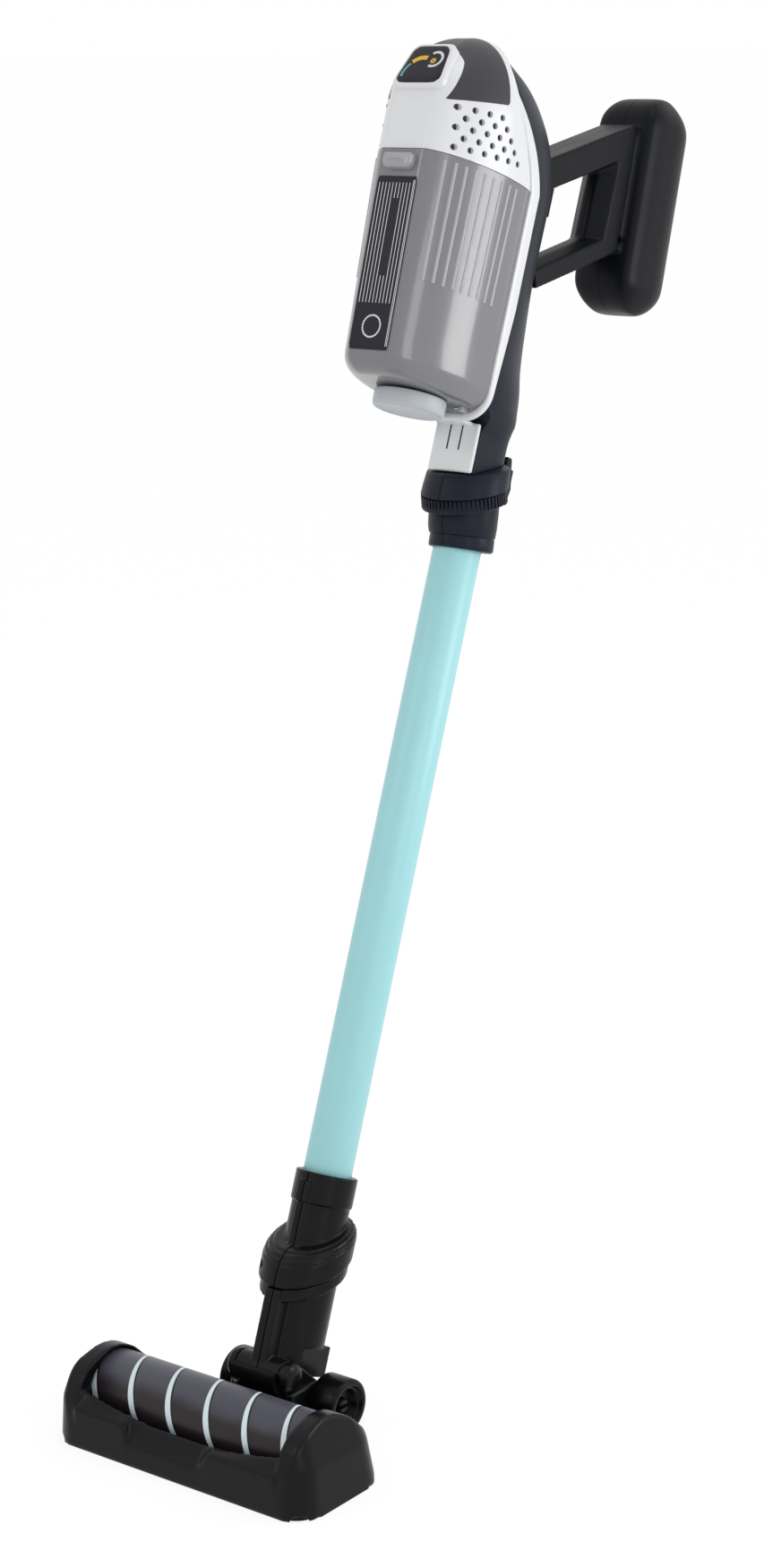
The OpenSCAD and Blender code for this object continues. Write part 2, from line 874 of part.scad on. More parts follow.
module tube() {
  color(turquoise_plastic)
  on_stick() translate([0, 0, tube_foot + seat_gap / 2])
  difference() {
    cylinder(r = tube_radius, h = tube_shown + tube_inserted * 2 - seat_gap);
    translate([0, 0, -cut]) cylinder(r = tube_radius - tube_wall, h = tube_shown + tube_inserted * 3);
  }
}

// Cuff at the tube's upper end
module rib_ring() {
  pitch = 360 / band_ribs;
  rib_shares = [[0, 0], [0.3, 0], [0.5, 1], [0.8, 1]];
  polygon([for (i = [0 : band_ribs - 1], share = rib_shares)
    (band_radius - share.y * rib_depth) * [cos((i + share.x) * pitch), sin((i + share.x) * pitch)]]);
}

module cuff_screws_at() {
  at_cuff() for (place = cuff_screw_places) half_screw_at(cuff_screw_set, place) children();
}

module cuff() {
  on_stick() difference() {
    union() {
      translate([0, 0, tube_top]) cylinder(r = foot_ring_radius, h = foot_ring + cut);
      intersection() {
        translate([0, waist_centre, tube_top + foot_ring]) cylinder(r = waist_radius, h = far);
        at_cuff() translate([0, 0, -flange_thickness]) below();
      }
      at_cuff() translate([0, cuff_centre, -flange_thickness - grip_band]) {
        linear_extrude(grip_band) rib_ring();
      }
      at_cuff() translate([0, cuff_centre, -flange_thickness]) {
        cylinder(r = flange_radius, h = flange_thickness);
      }
      intersection() {
        box([-rib_half, 0, tube_top + shell_wall], [rib_half, rib_reach, cuff_top]);
        at_cuff() translate([0, 0, -flange_thickness]) below();
      }
    }
    translate([0, 0, tube_top - cut]) cylinder(r = tube_radius + running_gap, h = tube_inserted + cut);
    translate([0, nozzle_centre, socket_stop]) cylinder(r = nozzle_radius + seat_gap, h = far);
    translate([0, 0, tube_top]) cylinder(r = throat_radius, h = far / 2);
    translate([0, 0, cuff_top + stem_level]) {
      box([-stem_half - clear_gap, stem_pocket, -stem_half - clear_gap],
        [stem_half + clear_gap, far, stem_half + clear_gap]);
    }
    translate([0, 0, cuff_top]) {
      box([-button_half - clear_gap, button_face - button_travel - clear_gap, button_low - clear_gap],
        [button_half + clear_gap, far, far]);
    }
    cuff_screws_at() half_screw_hole();
  }
}

module cuff_left() {
  color(slate_plastic) left_half() cuff();
}

module cuff_right() {
  color(slate_plastic) right_half() cuff();
}

module cuff_screws() {
  color(steel_grey) on_stick() cuff_screws_at() half_screw();
}

module release_button() {
  face_shares = [[0, 0], [0.9, 0], [1, 0.2], [0.45, 1], [0, 1]];
  color(slate_plastic)
  on_stick() translate([0, 0, cuff_top]) {
    across(button_half * 2) polygon([for (share = face_shares) [
      button_face + share.x * (button_reach - button_face),
      button_low + share.y * (button_high - button_low)
    ]]);
    translate([0, 0, stem_level]) {
      box([-stem_half, stem_end, -stem_half], [stem_half, button_face + cut, stem_half]);
    }
  }
}

module release_spring() {
  room = stem_end - button_travel - stem_pocket - seat_gap;
  color(steel_grey)
  on_stick() translate([0, stem_pocket + running_gap, cuff_top + stem_level]) rotate([-90, 0, 0])
  difference() {
    cylinder(r = stem_half - clear_gap, h = room - seat_gap);
    translate([0, 0, -cut]) cylinder(r = stem_half / 2, h = room + cut * 2);
  }
}

// Outline of the hand unit
function dome_share(z) = z <= dome_level ? 1 : sqrt(max(0, 1 - pow((z - dome_level) / dome_height, 2)));
function crown_share(z) = z <= seam_level ? 1 : 1 - pow((z - seam_level) / housing_height, 2);
function half_width(z) = z >= seam_level ? unit_half_width * dome_share(z)
  : unit_foot_half + (unit_half_width - unit_foot_half) * (z - cup_foot) / cup_height;
function band_half(z) = band_side * crown_share(z);
function band_front(z) = band_plane - max(0, z - seam_level) * band_lean_share;
function rim_deep(z) = rim_band * min(1, rim_foot_share + (1 - rim_foot_share) * (z - band_foot)
  / (rim_top - band_foot));
function front_reach(z) = unit_reach - cup_taper * max(0, seam_level - z) / cup_height;
function power(value, exponent) = pow(max(0, value), exponent);

// Half oval from the plane back round the front, drawn in by inset
function front_ring(z, inset, back, height) = [
  for (i = [0 : ring_steps]) let (
    turn = 180 - 180 * i / ring_steps,
    deep = (front_reach(z) + band_front(z)) * dome_share(z),
    depth_share = min(1, power(sin(turn), 2 / section_power) / land_share),
    open_share = sqrt(min(1, depth_share / shoulder_share)),
    wide = band_half(z) + (half_width(z) - band_half(z)) * open_share,
    side = max(wide - inset, sliver) * sign(cos(turn)) * power(abs(cos(turn)), 2 / section_power)
  ) [side, back - max(deep - inset, sliver) * depth_share, height]
];

dome_top_share = 0.995;
dome_reach = dome_height * dome_top_share;
dome_levels = [for (i = [0 : dome_steps]) dome_level + dome_reach * sin(90 * i / dome_steps)];
housing_levels = concat([seam_level, (seam_level + dome_level) / 2], dome_levels);

module housing_loft(inset, back, foot) {
  loft([for (z = housing_levels)
    let (lowered = z - inset * (z - seam_level) / housing_height)
      front_ring(z, inset, band_front(z) + back, z == seam_level ? foot : lowered)]);
}

module band_outline(inset) {
  half = band_side + band_proud;
  arc = [for (i = [0 : band_steps]) let (turn = -90 + 90 * i / band_steps, radius = band_corner - inset)
    [half - band_corner + radius * cos(turn), band_foot + band_corner + radius * sin(turn)]];
  crown = [for (z = housing_levels)
    [max(band_half(z) + band_proud - inset, sliver), z - inset * (z - seam_level) / housing_height]];
  edge = concat(arc, crown);
  polygon(concat(edge, [for (i = [len(edge) - 1 : -1 : 0]) [-edge[i].x, edge[i].y]]));
}

module band_profile(from, less) {
  top = unit_top + cut;
  polygon([
    [band_plane + from, band_foot],
    [band_plane + rim_deep(band_foot) - less, band_foot],
    [band_plane + rim_band - less, rim_top],
    [band_plane + rim_band - less, seam_level],
    [band_front(top) + rim_band - less, top],
    [band_front(top) + from, top],
    [band_plane + from, seam_level]
  ]);
}

module band(inset, from, less) {
  intersection() {
    fore_aft(-unit_reach, far) band_outline(inset);
    across(unit_reach * 2) band_profile(from, less);
  }
}

module panel_region(inset) {
  across(unit_reach) offset(delta = -inset) polygon([for (share = panel_shares)
    [band_plane - share.x * unit_reach, seam_level + share.y * housing_height]]);
}

module hole_places() {
  for (row = [0 : hole_rows - 1], column = [floor(row / 2) : hole_columns - 1 - row % 2]) {
    y = band_plane - hole_back - hole_slant * row - hole_pitch * (column + (row % 2) / 2);
    lift = (y - band_plane + hole_back + hole_pitch * hole_columns) * hole_rise_share;
    translate([0, y, seam_level + hole_low + hole_row * row + lift]) children();
  }
}

module at_display() {
  translate([0, -unit_reach + display_sink, display_level]) rotate([90 - display_tilt, 0, 0]) children();
}

module display_outline(gap) {
  half = display_width / 2 + gap;
  tall = display_height / 2 + gap;
  crown = half * display_top_share;
  polygon([[-half, -tall], [half, -tall], [crown, tall], [-crown, tall]]);
}

module casing_knuckles() {
  inner = knuckle_inner + knuckle_length + clear_gap;
  level = cup_foot - knuckle_drop;
  for (side = [-1, 1]) {
    low = side > 0 ? inner : -inner - knuckle_length;
    translate([0, band_plane - knuckle_forward, level]) rod(knuckle_radius, low, low + knuckle_length);
    box([low, band_plane - knuckle_forward, level - knuckle_radius],
      [low + knuckle_length, band_plane + knuckle_root, level + knuckle_radius]);
  }
}

module front_casing() {
  color(white_plastic)
  on_stick() difference() {
    union() {
      difference() {
        union() {
          housing_loft(inlay_depth, 0, seam_level);
          difference() {
            housing_loft(0, 0, seam_level);
            panel_region(0);
          }
        }
        housing_loft(inlay_depth + shell_wall, cut, seam_level + shell_wall);
        hole_places() rod(hole_radius, -unit_reach, unit_reach);
        at_display() linear_extrude(unit_reach) display_outline(seat_gap);
      }
      difference() {
        band(0, 0, 0);
        band(band_wall, -cut, web_thickness);
      }
      difference() {
        box([-neck_half, neck_front, spine_foot], [neck_half, neck_front + neck_plate, band_foot]);
        translate([0, 0, clear_gap]) at_cuff() below();
      }
      box([-neck_inner, neck_front, band_foot - cut],
        [neck_inner, neck_front + neck_plate, band_foot + neck_half]);
      difference() {
        box([-neck_inner, band_plane + sliver, band_foot + sliver],
          [neck_inner, nozzle_centre + nozzle_radius / 2, band_foot + shell_wall]);
        translate([0, nozzle_centre, 0]) cylinder(r = nozzle_radius - nozzle_wall, h = unit_top);
      }
      casing_knuckles();
    }
    for (side = [-1, 1]) {
      box([side * slit_side - seat_gap, neck_front - cut, cuff_top + slit_low],
        [side * slit_side + seat_gap, neck_front + seat_gap * 2, band_foot - seat_gap]);
    }
    translate([0, band_plane - knuckle_forward, cup_foot - knuckle_drop]) {
      rod(knuckle_pin + running_gap, -unit_half_width, unit_half_width);
    }
  }
}

module shoulder_panel() {
  color(panel_grey_plastic)
  on_stick() difference() {
    intersection() {
      housing_loft(0, 0, seam_level);
      panel_region(seat_gap);
    }
    housing_loft(inlay_depth - running_gap, 0, seam_level - cut);
  }
}

module display_panel() {
  color(display_violet)
  on_stick() at_display() translate([0, 0, running_gap]) linear_extrude(display_thickness) display_outline(0);
}

module nozzle() {
  color(navy_plastic)
  on_stick() translate([0, nozzle_centre, socket_stop + clear_gap])
  difference() {
    cylinder(r = nozzle_radius, h = band_foot - socket_stop - clear_gap);
    translate([0, 0, -cut]) cylinder(r = nozzle_radius - nozzle_wall, h = far / 2);
  }
}

// Rear casing behind the white band
function spine_level(share) = spine_foot + share * (unit_top - spine_foot);
function spine_front(z) = z < band_foot ? neck_front + neck_plate : band_front(z) + rim_deep(z);

function spine_ring(row, inset, forward) = [
  for (i = [0 : ring_steps]) let (
    z = spine_level(row[0]),
    front = spine_front(z) + running_gap - forward,
    back = max(row[2] * spine_depth, front + inset * 2) - inset,
    turn = 180 * i / ring_steps,
    deep_share = min(1, power(sin(turn), 2 / row[3]) / spine_land_share)
  ) [
    max(row[1] * spine_wide - inset, sliver) * sign(cos(turn)) * power(abs(cos(turn)), 2 / row[3]),
    front + (back - front) * deep_share,
    z - inset * row[0]
  ]
];

module spine_loft(inset, forward) {
  loft([for (row = spine_rows) spine_ring(row, inset, forward)]);
}

module rear_casing() {
  on_stick() difference() {
    spine_loft(0, 0);
    spine_loft(shell_wall, cut);
    translate([0, 0, clear_gap]) at_cuff() below();
  }
}

module rear_casing_left() {
  color(slate_plastic) left_half() rear_casing();
}

module rear_casing_right() {
  color(slate_plastic) right_half() rear_casing();
}

// Handle loop with its battery end
module spine_side(gap) {
  edge = [for (row = spine_rows) [row[2] * spine_depth + gap, spine_level(row[0])]];
  polygon(concat([[-unit_reach, spine_level(0)]], edge, [[-unit_reach, spine_level(1)]]));
}

module arm_side(root, level, height) {
  translate([root, level]) rotate(arm_rise) translate([arm_root, -height / 2]) {
    square([arm_reach - root - arm_root, height]);
  }
}

function loop_corners(spread) = let (
  slope = tan(arm_rise),
  low = lower_root + lower_arm / 2 / cos(arm_rise) + (grip_front - lower_root_back) * slope,
  high = upper_root - upper_arm / 2 / cos(arm_rise) + (grip_front - root_back) * slope
) [
  [arm_root, low - (grip_front - arm_root) * slope - spread / 2],
  [grip_front + spread, low + spread * slope - spread / 2],
  [grip_front + spread, high + spread * slope + spread / 2],
  [arm_root, high - (grip_front - arm_root) * slope + spread / 2]
];

function loop_ring(spread, side) = [for (corner = loop_corners(spread)) [corner.x, corner.y, side]];

module loop_opening() {
  rotate([90, 0, 90]) loft([
    loop_ring(flare, -grip_half - cut),
    loop_ring(0, -flare_half),
    loop_ring(0, flare_half),
    loop_ring(flare, grip_half + cut)
  ]);
}

module battery(inset) {
  depth = battery_depth - inset * 2;
  tall = battery_height - inset * 2;
  wide = battery_width - inset * 2;
  translate([0, handle_reach - battery_depth / 2, battery_middle]) rotate([battery_tilt, 0, 0])
  intersection() {
    across(battery_width) rounded_rect(depth, tall, battery_corner - inset);
    translate([0, 0, -battery_height / 2]) linear_extrude(battery_height) {
      polygon([for (share = battery_plan_shares) [share.x * wide, share.y * depth]]);
    }
    fore_aft(-battery_depth / 2, battery_depth / 2) {
      polygon([for (share = battery_end_shares) [share.x * wide, share.y * tall]]);
    }
  }
}

module loop_frame() {
  corners = loop_corners(0);
  rise = tan(arm_rise) * (grip_rear - grip_front);
  across(arm_width) {
    arm_side(root_back, upper_root, upper_arm);
    arm_side(lower_root_back, lower_root, lower_arm);
    polygon([
      [grip_front, corners[1].y - lower_arm / 2],
      [grip_rear, corners[1].y + rise - lower_arm / 2],
      [grip_rear, corners[2].y + rise + upper_arm / 2],
      [grip_front, corners[2].y + upper_arm / 2]
    ]);
  }
}

module handle_screws_at() {
  for (place = handle_screw_places) half_screw_at(handle_screw_set, place) children();
}

module trigger_axis() {
  translate([0, trigger_back, trigger_level]) children();
}

module handle() {
  slot_half = trigger_half + clear_gap;
  on_stick() difference() {
    union() {
      loop_frame();
      battery(0);
    }
    loop_opening();
    battery(handle_wall);
    across(unit_reach * 2) spine_side(seat_gap);
    trigger_axis() {
      box([-slot_half, -unit_reach, -upper_arm], [slot_half, trigger_slot, trigger_boss + clear_gap]);
      rod(trigger_pin_radius + running_gap, -grip_half + shell_wall, grip_half - shell_wall);
    }
    handle_screws_at() half_screw_hole();
  }
}

module handle_left() {
  color(navy_plastic) left_half() handle();
}

module handle_right() {
  color(navy_plastic) right_half() handle();
}

module handle_screws() {
  color(steel_grey) on_stick() handle_screws_at() half_screw();
}

module trigger() {
  color(navy_plastic)
  on_stick() trigger_axis() difference() {
    union() {
      rod(trigger_boss, -trigger_half, trigger_half);
      box([-trigger_half, -trigger_boss, -trigger_drop], [trigger_half, trigger_depth - trigger_boss, 0]);
    }
    rod(trigger_pin_radius + running_gap, -arm_width, arm_width);
  }
}

module trigger_pin() {
  reach = grip_half - shell_wall - running_gap;
  color(steel_grey) on_stick() trigger_axis() rod(trigger_pin_radius, -reach, reach);
}

// Dust cup and what it carries
function cup_inset(rise) = cup_round - sqrt(pow(cup_round, 2) - pow(max(0, cup_round - rise), 2));
cup_rise_shares = [0, 0.04, 0.15, 0.4, 1];

module cup_loft(inset, top) {
  back = band_plane - clear_gap;
  rises = [for (share = cup_rise_shares) share * cup_round];
  loft(concat(
    [for (rise = rises)
      front_ring(cup_foot + rise, inset + cup_inset(rise), back - inset, cup_foot + max(rise, 0) + inset)],
    [front_ring(cup_top, inset, back - inset, top)]
  ));
}

module latch_box(gap, from, to, spread) {
  box([-latch_half - gap - spread, from, cup_top - latch_drop - latch_height - gap - spread],
    [latch_half + gap + spread, to, cup_top - latch_drop + gap + spread / 2]);
}

module dust_cup() {
  color(smoke_plastic)
  on_stick() difference() {
    union() {
      difference() {
        cup_loft(0, cup_top);
        cup_loft(cup_wall, cup_top + cut);
      }
      translate([0, cap_centre, cup_foot - cap_boss_height]) {
        cylinder(r = cap_boss_radius, h = cap_boss_height + cut);
      }
      for (side = [-1, 1]) {
        low = side > 0 ? knuckle_inner : -knuckle_inner - knuckle_length;
        level = cup_foot - knuckle_drop;
        translate([0, band_plane - knuckle_forward, level]) rod(knuckle_radius, low, low + knuckle_length);
        box([low, band_plane - knuckle_forward - knuckle_radius, level],
          [low + knuckle_length, band_plane - knuckle_forward + knuckle_radius, cup_foot + cup_wall]);
      }
    }
    translate([0, band_plane - knuckle_forward, cup_foot - knuckle_drop]) {
      rod(knuckle_pin + running_gap, -unit_half_width, unit_half_width);
    }
    latch_box(clear_gap, -unit_reach - cut, -unit_reach + unit_reach / 2, 0);
  }
}

module cup_label() {
  slope = atan(cup_taper / cup_height);
  foot_reach = front_reach(cup_foot + label_foot);
  color(display_violet)
  on_stick() translate([0, -foot_reach - clear_gap - running_gap, cup_foot + label_foot])
  rotate([90 + slope, 0, 0])
  linear_extrude(label_thickness) translate([-label_width / 2, 0]) square([label_width, label_height]);
}

module cup_cap() {
  color(pale_grey_plastic)
  on_stick() translate([0, cap_centre, cup_foot - cap_gap - cap_height])
  difference() {
    union() {
      cylinder(r1 = cap_radius - cap_gap, r2 = cap_radius, h = cap_gap);
      translate([0, 0, cap_gap]) cylinder(r = cap_radius, h = cap_height - cap_gap);
    }
    translate([0, 0, cap_height + cap_gap - cap_boss_height - clear_gap]) {
      cylinder(r = cap_boss_radius + running_gap, h = cap_boss_height + cut);
    }
  }
}

module cup_latch() {
  wall_face = -unit_reach + cup_wall;
  color(smoke_plastic)
  on_stick() union() {
    latch_box(0, -unit_reach - latch_proud, wall_face + latch_flange + clear_gap, 0);
    latch_box(0, wall_face + clear_gap * 2, wall_face + clear_gap * 2 + latch_flange, latch_flange);
  }
}

module cup_hinge_pins() {
  inner = knuckle_inner + running_gap;
  outer = knuckle_inner + knuckle_length * 2 + clear_gap - running_gap;
  color(steel_grey)
  on_stick() translate([0, band_plane - knuckle_forward, cup_foot - knuckle_drop]) {
    rod(knuckle_pin, inner, outer);
    rod(knuckle_pin, -outer, -inner);
  }
}

head_shell();
sole_plate();
sole_screws();
roller_core();
roller_sleeve();
roller_bushes();
wheel_bracket();
bracket_screws();
wheel_left();
wheel_right();
neck_hinge_pin();
neck_foot_left();
neck_foot_right();
neck_foot_screws();
neck_top_left();
neck_top_right();
neck_top_screws();
tube();
cuff_left();
cuff_right();
cuff_screws();
release_button();
release_spring();
front_casing();
shoulder_panel();
display_panel();
nozzle();
rear_casing_left();
rear_casing_right();
handle_left();
handle_right();
handle_screws();
trigger();
trigger_pin();
dust_cup();
cup_label();
cup_cap();
cup_latch();
cup_hinge_pins();
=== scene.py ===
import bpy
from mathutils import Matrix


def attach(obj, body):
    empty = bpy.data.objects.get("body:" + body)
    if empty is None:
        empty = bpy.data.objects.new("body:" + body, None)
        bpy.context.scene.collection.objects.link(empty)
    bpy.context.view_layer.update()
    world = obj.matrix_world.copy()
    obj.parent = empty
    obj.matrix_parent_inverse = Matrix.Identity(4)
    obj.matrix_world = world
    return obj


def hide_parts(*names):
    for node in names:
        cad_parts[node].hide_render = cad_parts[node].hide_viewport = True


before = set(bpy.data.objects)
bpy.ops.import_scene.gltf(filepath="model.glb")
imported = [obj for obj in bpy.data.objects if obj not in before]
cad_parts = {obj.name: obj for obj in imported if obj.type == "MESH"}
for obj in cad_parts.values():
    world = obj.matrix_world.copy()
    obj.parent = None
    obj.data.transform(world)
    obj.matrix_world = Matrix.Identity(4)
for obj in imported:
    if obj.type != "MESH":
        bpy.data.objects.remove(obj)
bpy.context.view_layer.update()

import math
from contextlib import contextmanager

import bmesh
import bpy
import numpy as np
from mathutils import Matrix, Vector

bl_info = {
    "name": "Toy Stick Vacuum",
    "version": (1, 0, 0),
    "blender": (4, 5, 0),
    "location": "View3D > Sidebar > Toy Vacuum",
    "description": "Dresses the packed solids of a toy stick vacuum cleaner with moulded shells and finishes",
    "category": "Object",
}

MM = 0.001

# All lengths below are in millimetres. The stick's frame and the tube, as in the part's source
LEAN = math.radians(20.9)
PIVOT_BACK, PIVOT_HEIGHT, AXIS_BACK = 40.0, 34.5, 19.0
TUBE_RADIUS, TUBE_WALL, TUBE_FOOT, TUBE_END = 13.0, 1.2, 87.5, 461.3

# Cuff: rings of radius, distance behind the axis, height from the cuff's top and share of its tilt
CUFF_TOP, CUFF_TILT, CUFF_SPLIT = 489.2, math.radians(22), 0.18
CUFF_RINGS = (
    (16.6, 2.6, -45.0, 0.28), (17.2, 2.7, -44.6, 0.28), (17.5, 2.8, -43.6, 0.28), (17.4, 2.2, -38.4, 0.35),
    (17.2, 2.0, -37.8, 0.38), (17.9, 1.6, -37.2, 0.42), (18.5, 0.6, -33.0, 0.6), (18.8, -0.6, -27.0, 0.85),
    (18.9, -1.7, -20.6, 1.18), (21.6, -3.1, -20.4, 1.18), (22.1, -3.1, -19.8, 1.18), (22.1, -3.3, -12.4, 1.18),
    (23.0, -4.2, -12.2, 1.18), (23.5, -4.4, -11.6, 1.18), (23.2, -4.4, -7.0, 1.1), (22.5, -4.4, -1.2, 1),
    (22.1, -4.4, -0.4, 1), (21.4, -4.4, 0.0, 1),
)
GRIP_RING, GRIP_TILT, GRIP_RIBS, GRIP_LONG, GRIP_SIZE = (22.3, -3.2, -16.1), 1.18 * CUFF_TILT, 60, 6.4, (1.15, 1.6)
BORE_FOOT, SOCKET_RADIUS, SOCKET_BACK, SOCKET_FLOOR, SOCKET_TOP = 440, 10.6, -5, 3, 520
BUTTON_GUARDS = (
    ("button_cheek_left", (-8.6, 12.6, 475), (-6.5, 24.5, 494)),
    ("button_cheek_right", (6.5, 12.6, 475), (8.6, 24.5, 494)),
    ("button_ledge", (-8.6, 12.6, 474.6), (8.6, 24.5, 479.6)),
)

# Hand unit: outline of the casing and the cup
UNIT_FOOT, UNIT_TOP, SEAM, DOME_LEVEL, CUP_FOOT = 487.4, 699.4, 627.4, 654.4, 513.4
HOUSING_HEIGHT, DOME_HEIGHT, CUP_HEIGHT = 72.0, 45.0, 114.0
UNIT_REACH, UNIT_HALF, UNIT_FOOT_HALF = 115.0, 36.0, 32.4
SECTION_POWER, LAND_SHARE, SHOULDER_SHARE = 2.4, 0.963, 0.35
BAND_PLANE, BAND_LEAN, BAND_SIDE, BAND_PROUD = -45.0, 0.30, 32.2, 1.2
BAND_FOOT, BAND_CORNER, BAND_WALL, BAND_SOFT = 504.6, 15.0, 4.0, 0.9
RIM_BAND, RIM_FOOT_SHARE, RIM_TOP = 8.0, 0.4, 565.3
WEB_END, WEB_STRAIGHT, WEB_SIDE, WEB_FRONT, WEB_REAR = 2, 525, 2.5, 2.4, 0.3
HOLE_WIDE, HOLE_START, HOLE_STEP, HOLE_RISE, HOLE_LEAN, HOLE_SLANT = 3.4, 19, 8.2, 5.1, 0.56, 0.11
# The last value on the next line is the length of the dark discs of painted shade in the holes
HOLE_ROWS, HOLE_COLUMNS, HOLE_FOOT, DRILL_MIDDLE, DRILL_LONG, SHADE_DISC_LONG = 5, 6, 3.1, 32, 36, 6
PLATE_HALF, PLATE_FRONT, PLATE_BACK, PLATE_GAP, PLATE_TOP = 14, -22.5, -19.5, 0.4, BAND_FOOT + 3.8
SLIT_SIDE, SLIT_LEVEL, SLIT_LONG, SLIT_SIZE = 3.8, 500.8, 14.8, (0.9, 0.4)
SHELF = ((-10, -44.6, BAND_FOOT + 1.9), (10, -19.6, BAND_FOOT + 3.9))
KNUCKLE_PLACES, KNUCKLE_WIDE, KNUCKLE_LOW, KNUCKLE_HIGH = (-21.9, 18.9), 3, (-50.4, 508.1), (-43, 512.7)
PANEL_SHARES = (
    (0.30, 0.48), (0.585, 0.37), (0.55, 0.52), (0.51, 0.68), (0.50, 0.82), (0.50, 1.05), (0.31, 1.05),
)

# Display: its outline, the steps (grow, height) of bezel and glass, and the gauge's arcs as name, ink, centre,
# radius, first and last degree, count, width and depth of the ticks
DISPLAY_LEVEL, DISPLAY_TILT, DISPLAY_SINK = 671.9, math.radians(68.4), 4.0
DISPLAY_HALF, DISPLAY_TALL, DISPLAY_CROWN = 14.0, 11.5, 0.76
BEZEL_STEPS = ((3.0, -9), (3.0, -0.8), (2.7, 0.0), (2.1, 0.6), (1.4, 0.95), (0.5, 1.1), (0.4, 0.2), (-3, 0.2))
GLASS_STEPS = ((0.2, 0.3), (0.25, 1.3), (0.05, 1.6), (-0.5, 1.75), (-3, 1.85), (-7, 1.9))
GAUGE_PROUD, GAUGE_THICK = 1.87, 0.08
GAUGES = (
    ("gauge_ring", "white_ink", (5.4, 2.6), 4.6, -110, 120, 17, 0.95, 1.5),
    ("gauge_pointer", "yellow_ink", (4.9, 1.6), 1.1, 0, 300, 6, 1.0, 1.2),
    ("gauge_arc_high", "yellow_ink", (-1.6, -4.6), 8.2, 78, 136, 15, 0.75, 2.7),
    ("gauge_arc_low", "teal_ink", (-0.4, -7.0), 10.4, 142, 186, 15, 0.75, 1.2),
)

# Dust cup with its ribs, label, cap and latch
CUP_TAPER, CUP_ROUND, CUP_WALL, CUP_GAP = 6.0, 10.0, 1.8, 0.4
CUP_SAG, SAG_TOP, SAG_RUN, SAG_REACH = 3.0, 545, 32, 70
FOOT_SHARES = (0, 0.01, 0.04, 0.09, 0.16, 0.25, 0.36, 0.49, 0.64, 0.81, 1)
RIB_FOOT, RIB_TOP, RIB_START, RIB_WIDE, RIB_PROUD = 562, 624, 23.5, 2.0, 1.0
LABEL_RISE, LABEL_OUT, LABEL_HALF, LABEL_TALL = 10, 0.45, 12.5, 89.4
LABEL_STEPS = ((1, 0), (1, 0.3), (0.99, 0.4))
INK_OUT, INK_THICK, LINE_WIDE, LINE_START, LINE_STEP, LINE_COUNT, LINE_GAP = 0.42, 0.06, 0.34, -10.6, 2.15, 10, (5, 6)
LINE_FOOT, LINE_BREAK, LINE_TOP, EDGE_LINES, EDGE_FOOT, EDGE_TOP = 24.0, (38.0, 78.0), 86.0, (10.9, 11.8), 2.0, 87.4
DIAL_RADIUS, DIAL_LEVEL, DIAL_COUNT, DIAL_WIDE, DIAL_DEEP = 5.6, 12.0, 28, 1.0, 0.9
CAP_CENTRE, CAP_LOW, CAP_HIGH = -67.0, 501.8, 510.8
CAP_PROFILE = (
    (12.1, CAP_HIGH), (12.1, CAP_HIGH - 5), (0.05, CAP_HIGH - 5), (0.05, CAP_LOW + 0.9), (14.9, CAP_LOW + 0.9),
    (15.6, CAP_LOW + 0.6), (16.2, CAP_LOW + 0.1), (17.0, CAP_LOW), (18.0, CAP_LOW + 0.35), (18.8, CAP_LOW + 1.2),
    (19.1, CAP_LOW + 2.6), (19.2, CAP_HIGH - 0.8), (19.0, CAP_HIGH - 0.2), (18.5, CAP_HIGH),
)
LATCH_CORNERS = ((5, 620, 4, 270), (7.4, 622.4, 1.6, 0), (-7.4, 622.4, 1.6, 90), (-5, 620, 4, 180))
LATCH_STEPS = ((1.3, -119.5), (0.6, -119.3), (0.15, -118.7), (0, -117.9), (0, -111.4))
DISH_PROFILE = ((0.01, -3), (6.4, -3), (6.4, 0), (5.2, 1.0), (3.0, 1.6), (0.01, 1.8))
DISH_FRONT, DISH_LEVEL, DISH_SQUASH = -120.2, 618.6, 0.4

# Rear casing: rows of height share, half width, back and roundness
SPINE_FOOT, SPINE_WIDE, SPINE_DEPTH, SPINE_LAND, SPINE_FRONT = 475.9, 31.5, 48.0, 0.93, -19.45
SPINE_LEVELS, SPINE_EASE, SEAM_HALF = (496, 500, 502, 504, 506, 507.5, 509, 510.5), 13, 0.12
SPINE_RISE, SPINE_PLAY, SPINE_END, SPINE_STEPS = 4.6, 0.45, 3.5, 56
SPINE_ROWS = (
    (0.01, 0.44, 0.25, 4.0), (0.10, 0.442, 0.25, 4.0), (0.13, 0.46, 0.25, 3.8), (0.1436, 0.51, 0.25, 3.4),
    (0.157, 0.585, 0.248, 3.0), (0.1705, 0.69, 0.245, 2.7), (0.197, 0.825, 0.235, 2.3), (0.24, 0.915, 0.212, 2.0),
    (0.30, 0.92, 0.17, 1.8), (0.40, 0.91, 0.09, 1.8), (0.52, 0.91, 0.03, 1.8), (0.678, 0.92, 0.03, 1.8),
    (0.74, 0.92, 0.00, 1.8), (0.82, 0.82, -0.11, 1.9), (0.89, 0.62, -0.31, 2.0), (0.945, 0.40, -0.57, 2.0),
    (0.985, 0.18, -1.00, 2.0),
)

